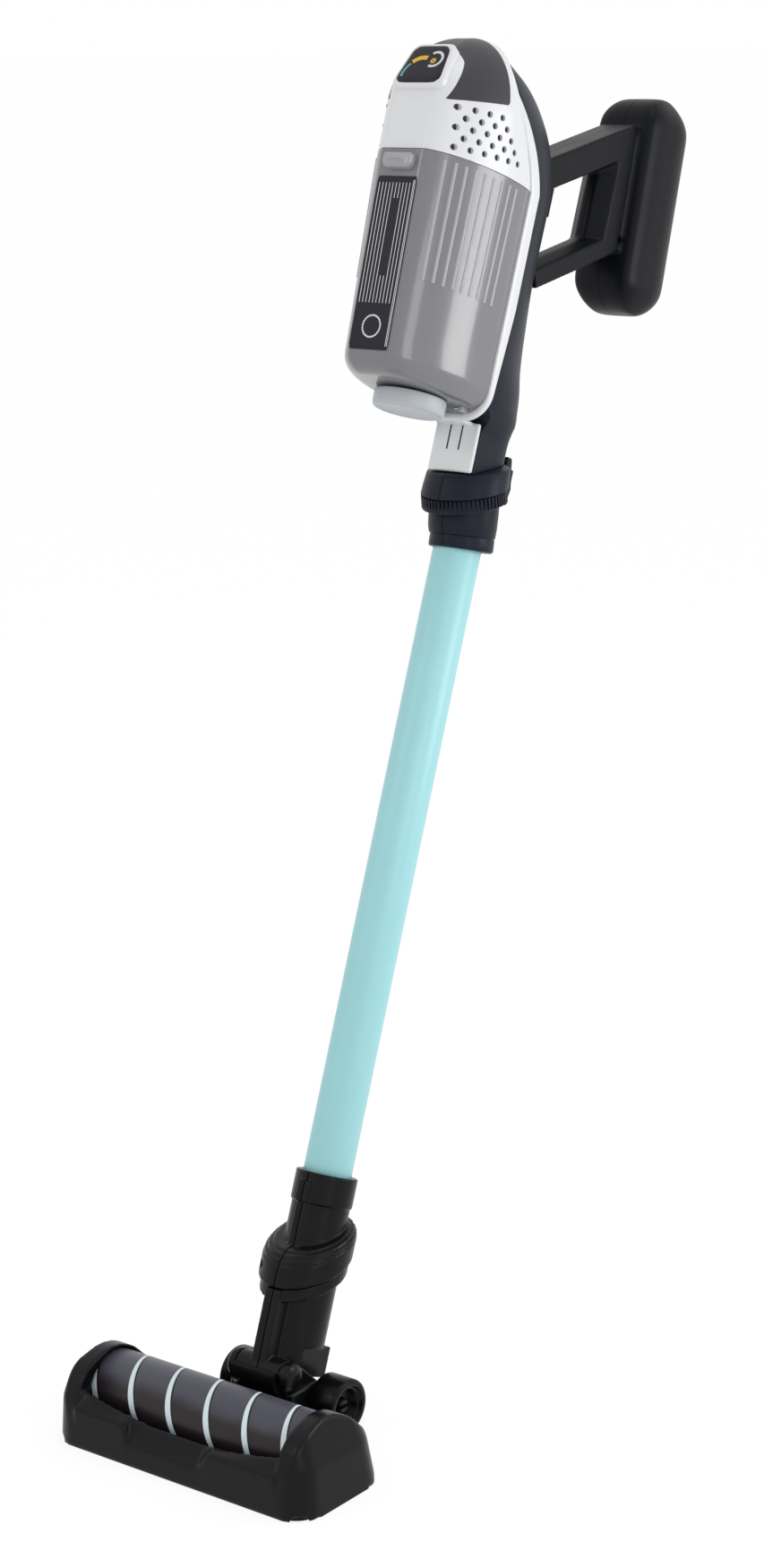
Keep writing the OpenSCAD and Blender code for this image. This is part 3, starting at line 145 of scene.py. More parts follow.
# Handle: arms as root, rise over the unit's foot and height
UPPER_ARM, LOWER_ARM = (5, 165.6, 19), (11, 112.6, 13)
ARM_RISE, ARM_HALF, ARM_ROOT, ARM_END, GRIP_FRONT, OPENING_FRONT = math.radians(31), 11.5, 9, 84, 52, -30
OPENING_FLARE, OPENING_LAND, TRIGGER_SLOT = 8, 3, ((-4.9, -20, 620), (4.9, 18.5, 651.8))
BATTERY_MIDDLE, BATTERY_REAR, BATTERY_LEAN, BATTERY_NARROWING = 662.9, 120.0, math.radians(4), 0.4
BATTERY_DEPTH, BATTERY_TALL, BATTERY_WIDE, BATTERY_CORNER, BATTERY_STRAIGHT = 46.0, 121.0, 40.0, 20.0, 44
BATTERY_PLAN = (
    (-0.42, -0.5), (0.42, -0.5), (0.5, -0.3), (0.5, 0.2), (0.36, 0.5), (-0.36, 0.5), (-0.5, 0.2), (-0.5, -0.3),
)

# Floor head with its roller, wheels and bracket
HEAD_WIDTH, HEAD_DEPTH, HEAD_CORNER = 170.0, 69.0, 15.0
END_LEAN, FRONT_LEAN, REAR_LEAN = 9.0, 2.5, 8.0
KNEE_HEIGHT, KNEE_SHARE, REAR_KNEE_SHARE, ARCH_HEIGHT = 25.0, 0.2, 0.55, 45.6
END_INNER, TROUGH_HALF, TROUGH_RADIUS, WELL_FLOOR, FAR, BELOW = 66.8, 70.3, 20.3, 31, 60, -5
RIM_OUTER, RIM_END, RIM_SAG, RIM_BACK = 22.3, 30, 8, -26
NOTCH_DEEP, NOTCH_FROM, NOTCH_TO, NOTCH_EASE = 9.8, -0.50, 0.37, (0.05, 0.15)
BOSS, SOLE_SEAT = ((-14.8, 20, 5), (14.8, 35.4, 22)), ((-82.6, -32.1, BELOW), (82.6, 32.1, 2.4))
ROLLER_BACK, ROLLER_HEIGHT, ROLLER_RADIUS, ROLLER_HALF = -1.0, 23.0, 19.5, 69.5
ARCH_SHARES = (
    (-1.02, 0), (-0.96, 0.50), (-0.91, 0.58), (-0.85, 0.71), (-0.74, 0.82), (-0.58, 0.91), (-0.30, 0.985),
    (-0.07, 1), (0.14, 0.97), (0.26, 0.93), (0.40, 0.87), (0.49, 0.81), (0.62, 0.71), (0.75, 0.63),
    (0.82, 0.60), (1.02, 0),
)
WHEEL_BACK, WHEEL_LEVEL, WHEEL_INNER = 62.0, 15.0, 21.6
WHEEL_PROFILE = (
    (4, 0), (13.4, 0), (14.2, 0.25), (14.75, 0.8), (15, 1.6), (15, 15.4), (14.75, 16.2), (14.2, 16.75), (13.4, 17),
    (11.9, 17), (11.45, 16.8), (10.7, 15.0), (10.4, 14.8), (9.6, 14.8), (9.3, 14.5), (8.5, 11.3), (8.2, 11), (4, 11),
)
SADDLE_HALF, SADDLE_EDGES, SADDLE_FOOT, SADDLE_ARC = 14.7, ((10.8, 33.4), (8.5, 35.8)), 20, (62, 135)
BRACKET_FILLERS = (
    ("bracket_skirt", (-14.7, 30, 16), (14.7, 46, 25.6)),
    ("bracket_arm_left", (-21.2, 36, 12), (-14.6, 60, 27)),
    ("bracket_arm_right", (14.6, 36, 12), (21.2, 60, 27)),
)

# The photograph's frame and the camera that was fitted to it; lamps as name, place in metres, size and power
PHOTO_HEIGHT, PHOTO_FOCAL, SENSOR = 1750, 3495.0, 36.0
CAMERA_PLACE = (986.18, -1111.39, 724.81)
CAMERA_TURN, CAMERA_PITCH, CAMERA_ROLL = math.radians(38.07), math.radians(13.95), math.radians(-0.94)
FLOOR_HALF, FLOOR_SHARE, FLOOR_LIGHT, SKY_DIFFUSE = 60000, 0.8, 1.08, 0.72
LAMP_TARGET = (0, 0.18, 0.5)
LAMPS = (
    ("key", (1.9, -0.7, 0.9), 0.6, 0.8, 4.2), ("fill", (-0.9, -1.6, 1.7), 0.5, 0.5, 3.0),
    ("top", (0.3, 0.3, 2.2), 0.6, 0.6, 2.5), ("window", (1.05, 0.78, 0.58), 0.42, 0.5, 4.0),
)

# Sizes of the patterns in plastics, film and steel; the roller's print by share of a stripe's width and by turn in
# radians. STRIPES_BEFORE keeps the count of stripes above zero, and its half sets a stripe's middle on its start
CLOUD, GRAIN, FLECK, STREAK, GLOSS_SPREAD, STRIPES_BEFORE = 30, 0.5, 18, 0.8, 0.05, 20.5
# The last value on the next line is the width of the painted shadow line beside each stripe, by share of the stripe
# pitch
STRIPE_THIN, STRIPE_THICK, STRIPE_TURN, STRIPE_EDGE, SHADOW_LINE_SHARE = 0.3, 0.63, 1.2, (-0.004, 0.006), 0.37
# Painted shade on the roller's ground: the turn from the top where it starts and ends darkening towards the front, and
# how ragged that edge is
SHADE_FROM, SHADE_TO, SHADE_RAGGED = 0.75, 1.25, 0.3

# Moulded finishes: record slot, colour setting, roughness and what departs from plain plastic
FINISHES = {
    # Black ABS, satin: dark with broad soft highlights
    "satin_black_abs": ("black_plastic", "black", 0.30, {"relief": 0.02, "mirror": 0.15}),
    # Black ABS of the wheels, a little darker
    "wheel_black_abs": ("wheel_plastic", "wheel", 0.30, {"relief": 0.02, "mirror": 0.12}),
    # Slate ABS of the cuff and rear casing, blue-grey and matt
    "slate_abs": ("slate_plastic", "slate", 0.40, {"mirror": 0.12}),
    # Near-black ABS of the handle, matt with a fine grain
    "charcoal_abs": ("navy_plastic", "charcoal", 0.40, {"mirror": 0.12}),
    # White ABS of the casing, semi-gloss
    "white_abs": ("white_plastic", "white", 0.34, {"relief": 0.01, "drift": 0.015}),
    # Turquoise tube, extruded and satin
    "turquoise_tube": ("turquoise_plastic", "turquoise", 0.38, {"relief": 0.01, "drift": 0.03}),
    # Smoky polystyrene of the dust cup: see-through grey with a hard gloss
    "smoky_polystyrene": ("smoke_plastic", "smoke", 0.2, {"relief": 0.004, "coat": 0.4, "drift": 0.03, "alpha": 0.86}),
    # Paler polystyrene of the cup's ribs, whose paler tone is painted sheen for the light streaks along them; the latch
    # and the casing's knuckles share it
    "smoky_rib": ("smoke_plastic", "pale_smoke_and_sheen", 0.25, {"relief": 0.004, "drift": 0.03}),
    # Pale grey polypropylene of the cap, waxy and matt
    "pale_polypropylene": ("pale_grey_plastic", "pale", 0.45, {"relief": 0.015, "drift": 0.03}),
    # Dark grey ABS inlay of the shoulder, matt
    "panel_grey_abs": ("panel_grey_plastic", "panel", 0.44, {"mirror": 0.3}),
    # Printed film of the display: dark violet under a hard gloss
    "violet_film": ("display_gloss", "film", 0.2, {"relief": 0.002, "drift": 0.08, "mirror": 0.25}),
    # Printed film of the label: dark as well, but duller
    "label_film": ("label_print", "label", 0.4, {"relief": 0.002, "drift": 0.08, "mirror": 0.2}),
    # White printing ink, flat and even
    "white_ink": ("label_print", "white_ink", 0.35, {"relief": 0.002, "drift": 0.02}),
    # Yellow printing ink, flat, the brightest tone of the gauge
    "yellow_ink": ("display_gloss", "yellow_ink", 0.35, {"relief": 0.002, "drift": 0.04}),
    # Teal printing ink, flat and cool beside the yellow
    "teal_ink": ("display_gloss", "teal_ink", 0.35, {"relief": 0.002, "drift": 0.04}),
    # Painted shade: a dull near-black set inside the holes and as the slits, standing for the shade within them
    "slit_black": ("white_plastic", "slit", 0.7, {"relief": 0.01}),
}

# Finishes of the pieces that keep their CAD shape
KEPT_NODES = {
    "satin_black_abs": ("sole_plate", "roller_core"),
    "pale_polypropylene": ("roller_bushes",),
    "charcoal_abs": ("nozzle",),
    "zinc_steel": (
        "sole_screws", "bracket_screws", "neck_hinge_pin", "neck_foot_screws", "neck_top_screws", "cuff_screws",
        "release_spring", "handle_screws", "trigger_pin", "cup_hinge_pins"),
}


# Colour, place and mesh helpers

def srgb(code):
    """Linear colour of an sRGB hex code."""
    parts = [int(code[i:i + 2], 16) / 255 for i in (1, 3, 5)]
    return tuple(c / 12.92 if c <= 0.04045 else ((c + 0.055) / 1.055) ** 2.4 for c in parts)


def as_given(points):
    """Points that are already in the part's frame."""
    return np.asarray(points, float)


def on_stick(points):
    """Places in the part's frame of points given in the stick's."""
    p = np.asarray(points, float)
    along, up = p[..., 1] + AXIS_BACK, p[..., 2]
    return np.stack([
        p[..., 0],
        PIVOT_BACK + along * math.cos(LEAN) + up * math.sin(LEAN),
        PIVOT_HEIGHT - along * math.sin(LEAN) + up * math.cos(LEAN),
    ], -1)


def on_axle(back, height, side=1, start=0.0):
    """Places round an axle along x; local z runs outwards from start on that side."""
    return lambda p: np.stack([side * (start + p[..., 2]), back + p[..., 1], height + p[..., 0]], -1)


def behind_axis(back):
    """Places round an axis that far behind the stick's own."""
    return lambda p: on_stick(p + (0, back, 0))


def on_face(reach, level, tilt):
    """Places on a face at the hand unit's front: x across, y up the face, z out of it."""
    c, s = math.cos(tilt), math.sin(tilt)

    def place(points):
        p = np.asarray(points, float)
        return on_stick(np.stack([
            p[..., 0], -reach + p[..., 1] * c - p[..., 2] * s, level + p[..., 1] * s + p[..., 2] * c], -1))

    return place


def smooth(t):
    """Eases a share from 0 to 1."""
    return t * t * (3 - 2 * t)


def stand(name, data):
    """An object for a mesh, lamp or camera, linked to the scene."""
    piece = bpy.data.objects.new(name, data)
    bpy.context.scene.collection.objects.link(piece)
    return piece


@contextmanager
def edited(mesh):
    """The mesh as a bmesh, written back at the end."""
    shape = bmesh.new()
    shape.from_mesh(mesh)
    yield shape
    shape.to_mesh(mesh)
    shape.free()
    mesh.update()


def new_piece(name, points, faces):
    """A mesh object from points, with its place in the mesh, doubles merged and faces turned outwards."""
    mesh = bpy.data.meshes.new(name)
    mesh.from_pydata((np.asarray(points, float).reshape(-1, 3) * MM).tolist(), [], [list(f) for f in faces])
    with edited(mesh) as shape:
        bmesh.ops.remove_doubles(shape, verts=shape.verts, dist=2e-6)
        bmesh.ops.dissolve_degenerate(shape, dist=1e-7, edges=shape.edges)
        bmesh.ops.recalc_face_normals(shape, faces=shape.faces)
    return stand(name, mesh)


def loft(name, rings, hooped=False):
    """A skin through rings of equal length; its ends close with one face each, or on each other."""
    rings = np.asarray(rings, float)
    count, size = rings.shape[:2]
    faces = [
        (i * size + j, i * size + (j + 1) % size, (i + 1) % count * size + (j + 1) % size, (i + 1) % count * size + j)
        for i in range(count if hooped else count - 1) for j in range(size)
    ]
    if not hooped:
        faces += [tuple(range(size)), tuple(range((count - 1) * size, count * size))]
    return new_piece(name, rings, faces)


def lathe(name, profile, place, turns=128):
    """A closed profile of radius and height turned about the local z axis; place maps points to the part's frame."""
    angles = np.linspace(0, 2 * np.pi, turns, endpoint=False)
    rings = [[(r * math.cos(a), r * math.sin(a), h) for r, h in profile] for a in angles]
    return loft(name, place(np.asarray(rings, float)), hooped=True)


def plug(name, radius, low, high, place, turns=128):
    """A plain round bar, for cutting."""
    return lathe(name, [(0.01, low), (radius, low), (radius, high), (0.01, high)], place, turns)


def prism(name, outline, half, place):
    """An outline of y and z drawn out across x to both sides."""
    outline = np.asarray(outline, float)
    rings = [np.column_stack([np.full(len(outline), side * half), outline]) for side in (-1, 1)]
    return loft(name, place(rings))


def rounded(points, rounds=2, share=0.25, closed=True):
    """Corner cutting: each round replaces a corner by two points."""
    points = np.asarray(points, float)
    for _ in range(rounds):
        after = np.roll(points, -1, 0) if closed else points[1:]
        before = points if closed else points[:-1]
        cut = np.stack([before * (1 - share) + after * share, before * share + after * (1 - share)], 1)
        cut = cut.reshape(-1, points.shape[1])
        points = cut if closed else np.vstack([points[:1], cut, points[-1:]])
    return points


def block(name, low, high, bevel, place, segments=3):
    """A box with rounded edges."""
    low, high = np.asarray(low, float), np.asarray(high, float)
    shape = bmesh.new()
    bmesh.ops.create_cube(shape, size=1.0)
    for v in shape.verts:
        v.co = Vector(((low + high) / 2 + np.asarray(v.co) * (high - low)).tolist())
    bmesh.ops.bevel(shape, geom=list(shape.edges), offset=bevel, segments=segments, profile=0.5, affect="EDGES",
                    clamp_overlap=True)
    points = place(np.asarray([v.co[:] for v in shape.verts]))
    faces = [[v.index for v in f.verts] for f in shape.faces]
    shape.free()
    return new_piece(name, points, faces)


def cutter(name, low, high, place=as_given):
    """A box with sharp edges, for cutting."""
    return block(name, low, high, bevel=0.01, place=place, segments=1)


def settle(piece):
    """Turns a piece's modifiers into plain mesh."""
    graph = bpy.context.evaluated_depsgraph_get()
    mesh = bpy.data.meshes.new_from_object(piece.evaluated_get(graph))
    before = piece.data
    piece.modifiers.clear()
    piece.data = mesh
    bpy.data.meshes.remove(before)
    return piece


def drop(piece):
    """Removes a helper piece."""
    mesh = piece.data
    bpy.data.objects.remove(piece)
    bpy.data.meshes.remove(mesh)


def combine(piece, operation, *tools):
    """Booleans of a piece with tools, which are used up."""
    for tool in tools:
        step = piece.modifiers.new("combine", "BOOLEAN")
        step.operation = operation
        step.solver = "EXACT"
        step.object = tool
        settle(piece)
        drop(tool)


def soften(piece, voxel, passes):
    """Rounds a solid's edges the way a moulded part has them: an even skin, then relaxed."""
    skin = piece.modifiers.new("skin", "REMESH")
    skin.mode = "VOXEL"
    skin.voxel_size = voxel * MM
    relax = piece.modifiers.new("relax", "SMOOTH")
    relax.factor = 0.5
    relax.iterations = passes
    return settle(piece)


def softened_node(node, voxel, passes):
    """A moulded copy of a CAD node: its loose triangles are merged and its edges rounded."""
    name = node + "_moulded"
    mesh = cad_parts[node].data.copy()
    mesh.materials.clear()
    mesh.name = name
    with edited(mesh) as shape:
        bmesh.ops.remove_doubles(shape, verts=shape.verts, dist=1e-6)
    return soften(stand(name, mesh), voxel, passes)


def half_of(piece, name, side, gap):
    """One half of a piece, cut that far off the middle plane and closed there."""
    mesh = piece.data.copy()
    mesh.name = name
    with edited(mesh) as shape:
        cut = bmesh.ops.bisect_plane(
            shape, geom=list(shape.verts) + list(shape.edges) + list(shape.faces), dist=1e-7,
            plane_co=(side * gap * MM, 0, 0), plane_no=(side, 0, 0), clear_inner=True)
        edges = [e for e in cut["geom_cut"] if isinstance(e, bmesh.types.BMEdge)]
        bmesh.ops.triangle_fill(shape, use_beauty=True, edges=edges)
        bmesh.ops.recalc_face_normals(shape, faces=shape.faces)
    return stand(name, mesh)


def dress(piece, body, name, nodes=(), sharp=None):
    """Gives a piece its finish, body and the CAD nodes that it stands for."""
    piece.data.materials.clear()
    piece.data.materials.append(finish(name))
    piece.data.polygons.foreach_set("use_smooth", [True] * len(piece.data.polygons))
    if sharp is not None:
        piece.data.set_sharp_from_angle(angle=math.radians(sharp))
    piece.data.update()
    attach(piece, body)
    if nodes:
        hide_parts(*nodes)


# Materials

def add(tree, kind, links=None, **settings):
    """Adds a node with its settings; links holds sockets or plain values by input name or number."""
    made = tree.nodes.new(kind)
    for key, value in settings.items():
        setattr(made, key, value)
    for key, value in (links or {}).items():
        if isinstance(value, bpy.types.NodeSocket):
            tree.links.new(value, made.inputs[key])
        else:
            made.inputs[key].default_value = value
    return made


def blank(name):
    """A new material with an empty tree."""
    material = bpy.data.materials.new(name)
    material.use_nodes = True
    material.node_tree.nodes.clear()
    return material, material.node_tree


def opaque(colour, share=1.0):
    """A colour with full alpha, brightened or darkened by a share."""
    return tuple(min(1.0, c * share) for c in colour) + (1.0,)


def moulded(name, colour, roughness, relief=0.03, coat=0.0, drift=0.06, alpha=1.0, mirror=0.5):
    """Injection-moulded plastic: a faint cloud in the colour, uneven gloss and a fine spark-eroded grain.
    The real grain is about 0.1 mm; it is drawn at 0.5 mm so that it shows."""
    material, tree = blank(name)
    place = add(tree, "ShaderNodeTexCoord").outputs["Object"]
    cloud = add(tree, "ShaderNodeTexNoise", {"Vector": place, "Scale": 1 / (CLOUD * MM), "Detail": 3.0})
    grit = add(tree, "ShaderNodeTexNoise", {"Vector": place, "Scale": 1 / (GRAIN * MM), "Detail": 2.0})
    tint = add(tree, "ShaderNodeMix", {
        0: cloud.outputs[0], 6: opaque(colour, 1 - drift), 7: opaque(colour, 1 + drift)}, data_type="RGBA")
    gloss = add(tree, "ShaderNodeMapRange", {
        "Value": cloud.outputs[0], "To Min": roughness - GLOSS_SPREAD, "To Max": roughness + GLOSS_SPREAD})
    bump = add(tree, "ShaderNodeBump", {
        "Height": grit.outputs[0], "Strength": 0.25, "Distance": relief * MM})
    shader = add(tree, "ShaderNodeBsdfPrincipled", {
        "Base Color": tint.outputs[2], "Roughness": gloss.outputs[0], "Normal": bump.outputs[0],
        "IOR": 1.53, "Specular IOR Level": mirror, "Coat Weight": coat, "Coat Roughness": 0.06, "Alpha": alpha})
    add(tree, "ShaderNodeOutputMaterial", {"Surface": shader.outputs[0]})
    return material


def printed_sleeve(name, ground, shaded_ground, stripe):
    """Printed film on the roller: satin ground with painted shade that darkens it from the top towards the front, pale
    printed stripes that wind round the drum and a thin painted shadow line beside each."""
    sizes = bpy.context.scene.toy_vacuum_sizes
    pitch, width = sizes.stripe_pitch, sizes.stripe_width / sizes.stripe_pitch
    material, tree = blank(name)
    place = add(tree, "ShaderNodeTexCoord").outputs["Object"]
    flecks = add(tree, "ShaderNodeTexNoise", {"Vector": place, "Scale": 1 / (FLECK * MM), "Detail": 3.0})
    axes = add(tree, "ShaderNodeSeparateXYZ", {0: place})
    made = {"x": axes.outputs[0], "y": axes.outputs[1], "z": axes.outputs[2], "flecks": flecks.outputs[0]}
    for key, operation, *given in (
            ("forward", "MULTIPLY_ADD", "y", -1.0, ROLLER_BACK * MM),
            ("level", "SUBTRACT", "z", ROLLER_HEIGHT * MM),
            ("angle", "ARCTAN2", "forward", "level"),
            ("wound", "MULTIPLY_ADD", "angle", -sizes.stripe_winding, "x"),
            ("count", "MULTIPLY_ADD", "wound", 1 / pitch, STRIPES_BEFORE - sizes.stripe_start / pitch),
            ("phase", "FRACT", "count"),
            ("middle", "SUBTRACT", "phase", 0.5),
            ("away", "ABSOLUTE", "middle"),
            ("half", "RANGE", "angle", 0.0, STRIPE_TURN, width * STRIPE_THIN, width * STRIPE_THICK),
            ("inside", "SUBTRACT", "half", "away"),
            ("stripe", "RANGE", "inside", *STRIPE_EDGE, 0.0, 1.0),
            # Painted shadow line: a thin dark band just beyond one edge of each stripe
            ("beyond", "SUBTRACT", "middle", "half"),
            ("near", "GREATER_THAN", "beyond", 0.0),
            ("far", "LESS_THAN", "beyond", width * SHADOW_LINE_SHARE),
            ("line", "MULTIPLY", "near", "far"),
            ("turned", "MULTIPLY_ADD", "flecks", SHADE_RAGGED, "angle")):
        kind, settings = "ShaderNodeMath", {"operation": operation}
        if operation == "RANGE":
            kind, settings = "ShaderNodeMapRange", {}
        links = {index: made.get(value, value) for index, value in enumerate(given)}
        made[key] = add(tree, kind, links, **settings).outputs[0]
    # Painted shade: the ground darkens from the top towards the front, with a ragged edge
    painted_shade = add(tree, "ShaderNodeMapRange", {
        0: made["turned"], 1: SHADE_FROM, 2: SHADE_TO, 3: 0.0, 4: 1.0}, interpolation_type="SMOOTHSTEP")
    tint = opaque(ground)
    # Layers over the ground: painted shade, then the painted shadow line, then the printed stripes
    for share, over in ((painted_shade.outputs[0], opaque(shaded_ground)), (made["line"], opaque(shaded_ground, 0.25)),
                        (made["stripe"], opaque(stripe))):
        tint = add(tree, "ShaderNodeMix", {0: share, 6: tint, 7: over}, data_type="RGBA").outputs[2]
    gloss = add(tree, "ShaderNodeMapRange", {"Value": flecks.outputs[0], "To Min": 0.34, "To Max": 0.44})
    shader = add(tree, "ShaderNodeBsdfPrincipled", {
        "Base Color": tint, "Roughness": gloss.outputs[0], "IOR": 1.5, "Specular IOR Level": 0.3})
    add(tree, "ShaderNodeOutputMaterial", {"Surface": shader.outputs[0]})
    return material


def plated_steel(name, colour):
    """Zinc-plated steel of screws, pins and the spring: bright with a fine brushed unevenness."""
    material, tree = blank(name)
    place = add(tree, "ShaderNodeTexCoord").outputs["Object"]
    streak = add(tree, "ShaderNodeTexNoise", {"Vector": place, "Scale": 1 / (STREAK * MM), "Detail": 2.0})
    gloss = add(tree, "ShaderNodeMapRange", {"Value": streak.outputs[0], "To Min": 0.28, "To Max": 0.42})
    tone = add(tree, "ShaderNodeMix", {
        0: streak.outputs[0], 6: opaque(colour, 0.9), 7: opaque(colour)}, data_type="RGBA")
    shader = add(tree, "ShaderNodeBsdfPrincipled", {
        "Base Color": tone.outputs[2], "Roughness": gloss.outputs[0], "Metallic": 1.0})
    add(tree, "ShaderNodeOutputMaterial", {"Surface": shader.outputs[0]})
    return material


def finish(name):
    """The finish of that name, made on its first use."""
    if name in bpy.data.materials:
        return bpy.data.materials[name]
    tone = bpy.context.scene.toy_vacuum_colours
    if name == "roller_print":
        return printed_sleeve(name, tone.roller, tone.roller_painted_shade, tone.stripe)
    if name == "zinc_steel":
        return plated_steel(name, tone.steel)
    _, key, roughness, options = FINISHES[name]
    return moulded(name, getattr(tone, key), roughness, **options)


# Repeats by Geometry Nodes

def repeat_tree(kind):
    """Node group that sets a bar or a disc on each point, turned and sized by the point's own values."""
    name = "repeat_" + kind
    if name in bpy.data.node_groups:
        return bpy.data.node_groups[name]
    tree = bpy.data.node_groups.new(name, "GeometryNodeTree")
    for label, socket in (("Geometry", "Geometry"), ("Width", "Float"), ("Depth", "Float"), ("Material", "Material")):
        tree.interface.new_socket(label, in_out="INPUT", socket_type="NodeSocket" + socket)
    tree.interface.new_socket("Geometry", in_out="OUTPUT", socket_type="NodeSocketGeometry")
    given = add(tree, "NodeGroupInput")
    turn = add(tree, "GeometryNodeInputNamedAttribute", {"Name": "turn"}, data_type="FLOAT_VECTOR")
    length = add(tree, "GeometryNodeInputNamedAttribute", {"Name": "length"}, data_type="FLOAT")
    facing = add(tree, "FunctionNodeEulerToRotation", {0: turn.outputs[0]})
    size = add(tree, "ShaderNodeCombineXYZ", {
        0: given.outputs["Width"], 1: given.outputs["Depth"], 2: length.outputs[0]})
    if kind == "bar":
        shape = add(tree, "GeometryNodeMeshCube", {"Size": (1.0, 1.0, 1.0)})
    else:
        shape = add(tree, "GeometryNodeMeshCylinder", {"Vertices": 24, "Radius": 0.5, "Depth": 1.0})
    placed = add(tree, "GeometryNodeInstanceOnPoints", {
        "Points": given.outputs[0], "Instance": shape.outputs["Mesh"], "Rotation": facing.outputs[0],
        "Scale": size.outputs[0]})
    real = add(tree, "GeometryNodeRealizeInstances", {0: placed.outputs[0]})
    painted = add(tree, "GeometryNodeSetMaterial", {"Geometry": real.outputs[0], "Material": given.outputs["Material"]})
    add(tree, "NodeGroupOutput", {0: painted.outputs[0]})
    return tree


def repeat(name, kind, rows, width, depth, paint):
    """Bars or discs at rows of (place in the part's frame, turn in radians, length)."""
    mesh = bpy.data.meshes.new(name)
    mesh.from_pydata([[c * MM for c in row[0]] for row in rows], [], [])
    turn = mesh.attributes.new("turn", "FLOAT_VECTOR", "POINT")
    turn.data.foreach_set("vector", np.asarray([row[1] for row in rows], np.float32).ravel())
    length = mesh.attributes.new("length", "FLOAT", "POINT")
    length.data.foreach_set("value", np.asarray([row[2] * MM for row in rows], np.float32))
    piece = stand(name, mesh)
    step = piece.modifiers.new("repeat", "NODES")
    step.node_group = repeat_tree(kind)
    values = {"Width": width * MM, "Depth": depth * MM, "Material": finish(paint)}
    for item in step.node_group.interface.items_tree:
        if item.in_out == "INPUT" and item.name in values:
            step[item.identifier] = values[item.name]
    return settle(piece)


def stick_turn(extra):
    """Euler turn of a shape in the stick's frame, leaned with the stick."""
    return tuple((Matrix.Rotation(-LEAN, 3, "X") @ extra).to_euler())


# Outline of the hand unit by height, as in the part's source

def dome_share(z):
    return 1.0 if z <= DOME_LEVEL else math.sqrt(max(0.0, 1 - ((z - DOME_LEVEL) / DOME_HEIGHT) ** 2))


def half_width(z):
    if z >= SEAM:
        return UNIT_HALF * dome_share(z)
    return UNIT_FOOT_HALF + (UNIT_HALF - UNIT_FOOT_HALF) * (z - CUP_FOOT) / CUP_HEIGHT


def band_half(z):
    return BAND_SIDE * (1.0 if z <= SEAM else 1 - ((z - SEAM) / HOUSING_HEIGHT) ** 2)


def band_front(z):
    return BAND_PLANE - max(0.0, z - SEAM) * BAND_LEAN


def rim_deep(z):
    share = RIM_FOOT_SHARE + (1 - RIM_FOOT_SHARE) * (z - BAND_FOOT) / (RIM_TOP - BAND_FOOT)
    return RIM_BAND * min(1.0, share)


def front_reach(z):
    return UNIT_REACH - CUP_TAPER * max(0.0, SEAM - z) / CUP_HEIGHT


def front_ring(z, inset, back, height, steps=112):
    """Half oval from the plane back round the front, drawn in by inset."""
    turn = np.pi * (1 - np.arange(steps + 1) / steps)
    deep = (front_reach(z) + band_front(z)) * dome_share(z)
    depth = np.minimum(1, np.clip(np.sin(turn), 0, 1) ** (2 / SECTION_POWER) / LAND_SHARE)
    wide = band_half(z) + (half_width(z) - band_half(z)) * np.sqrt(np.minimum(1, depth / SHOULDER_SHARE))
    side = np.maximum(wide - inset, 0.05) * np.sign(np.cos(turn)) * np.abs(np.cos(turn)) ** (2 / SECTION_POWER)
    return np.column_stack([side, back - max(deep - inset, 0.05) * depth, np.full(steps + 1, height)])


def housing_loft(name, inset, foot, lower):
    """Domed housing drawn in by inset, from a foot level to a top that is lowered a little."""
    levels = [SEAM + (DOME_LEVEL - SEAM) * i / 8 for i in range(8)]
    levels += [DOME_LEVEL + DOME_HEIGHT * 0.9995 * math.sin(math.pi / 2 * i / 28) for i in range(29)]
    rings = []
    for z in levels:
        height = foot if z == SEAM else z - lower * (z - SEAM) / HOUSING_HEIGHT
        rings.append(front_ring(z, inset, band_front(z), height))
    return loft(name, on_stick(rings))


def cuff_plane(y):
    """Height of the cuff's slanted top at that distance behind the tube's axis."""
    return CUFF_TOP + y * math.tan(CUFF_TILT)


# Pieces

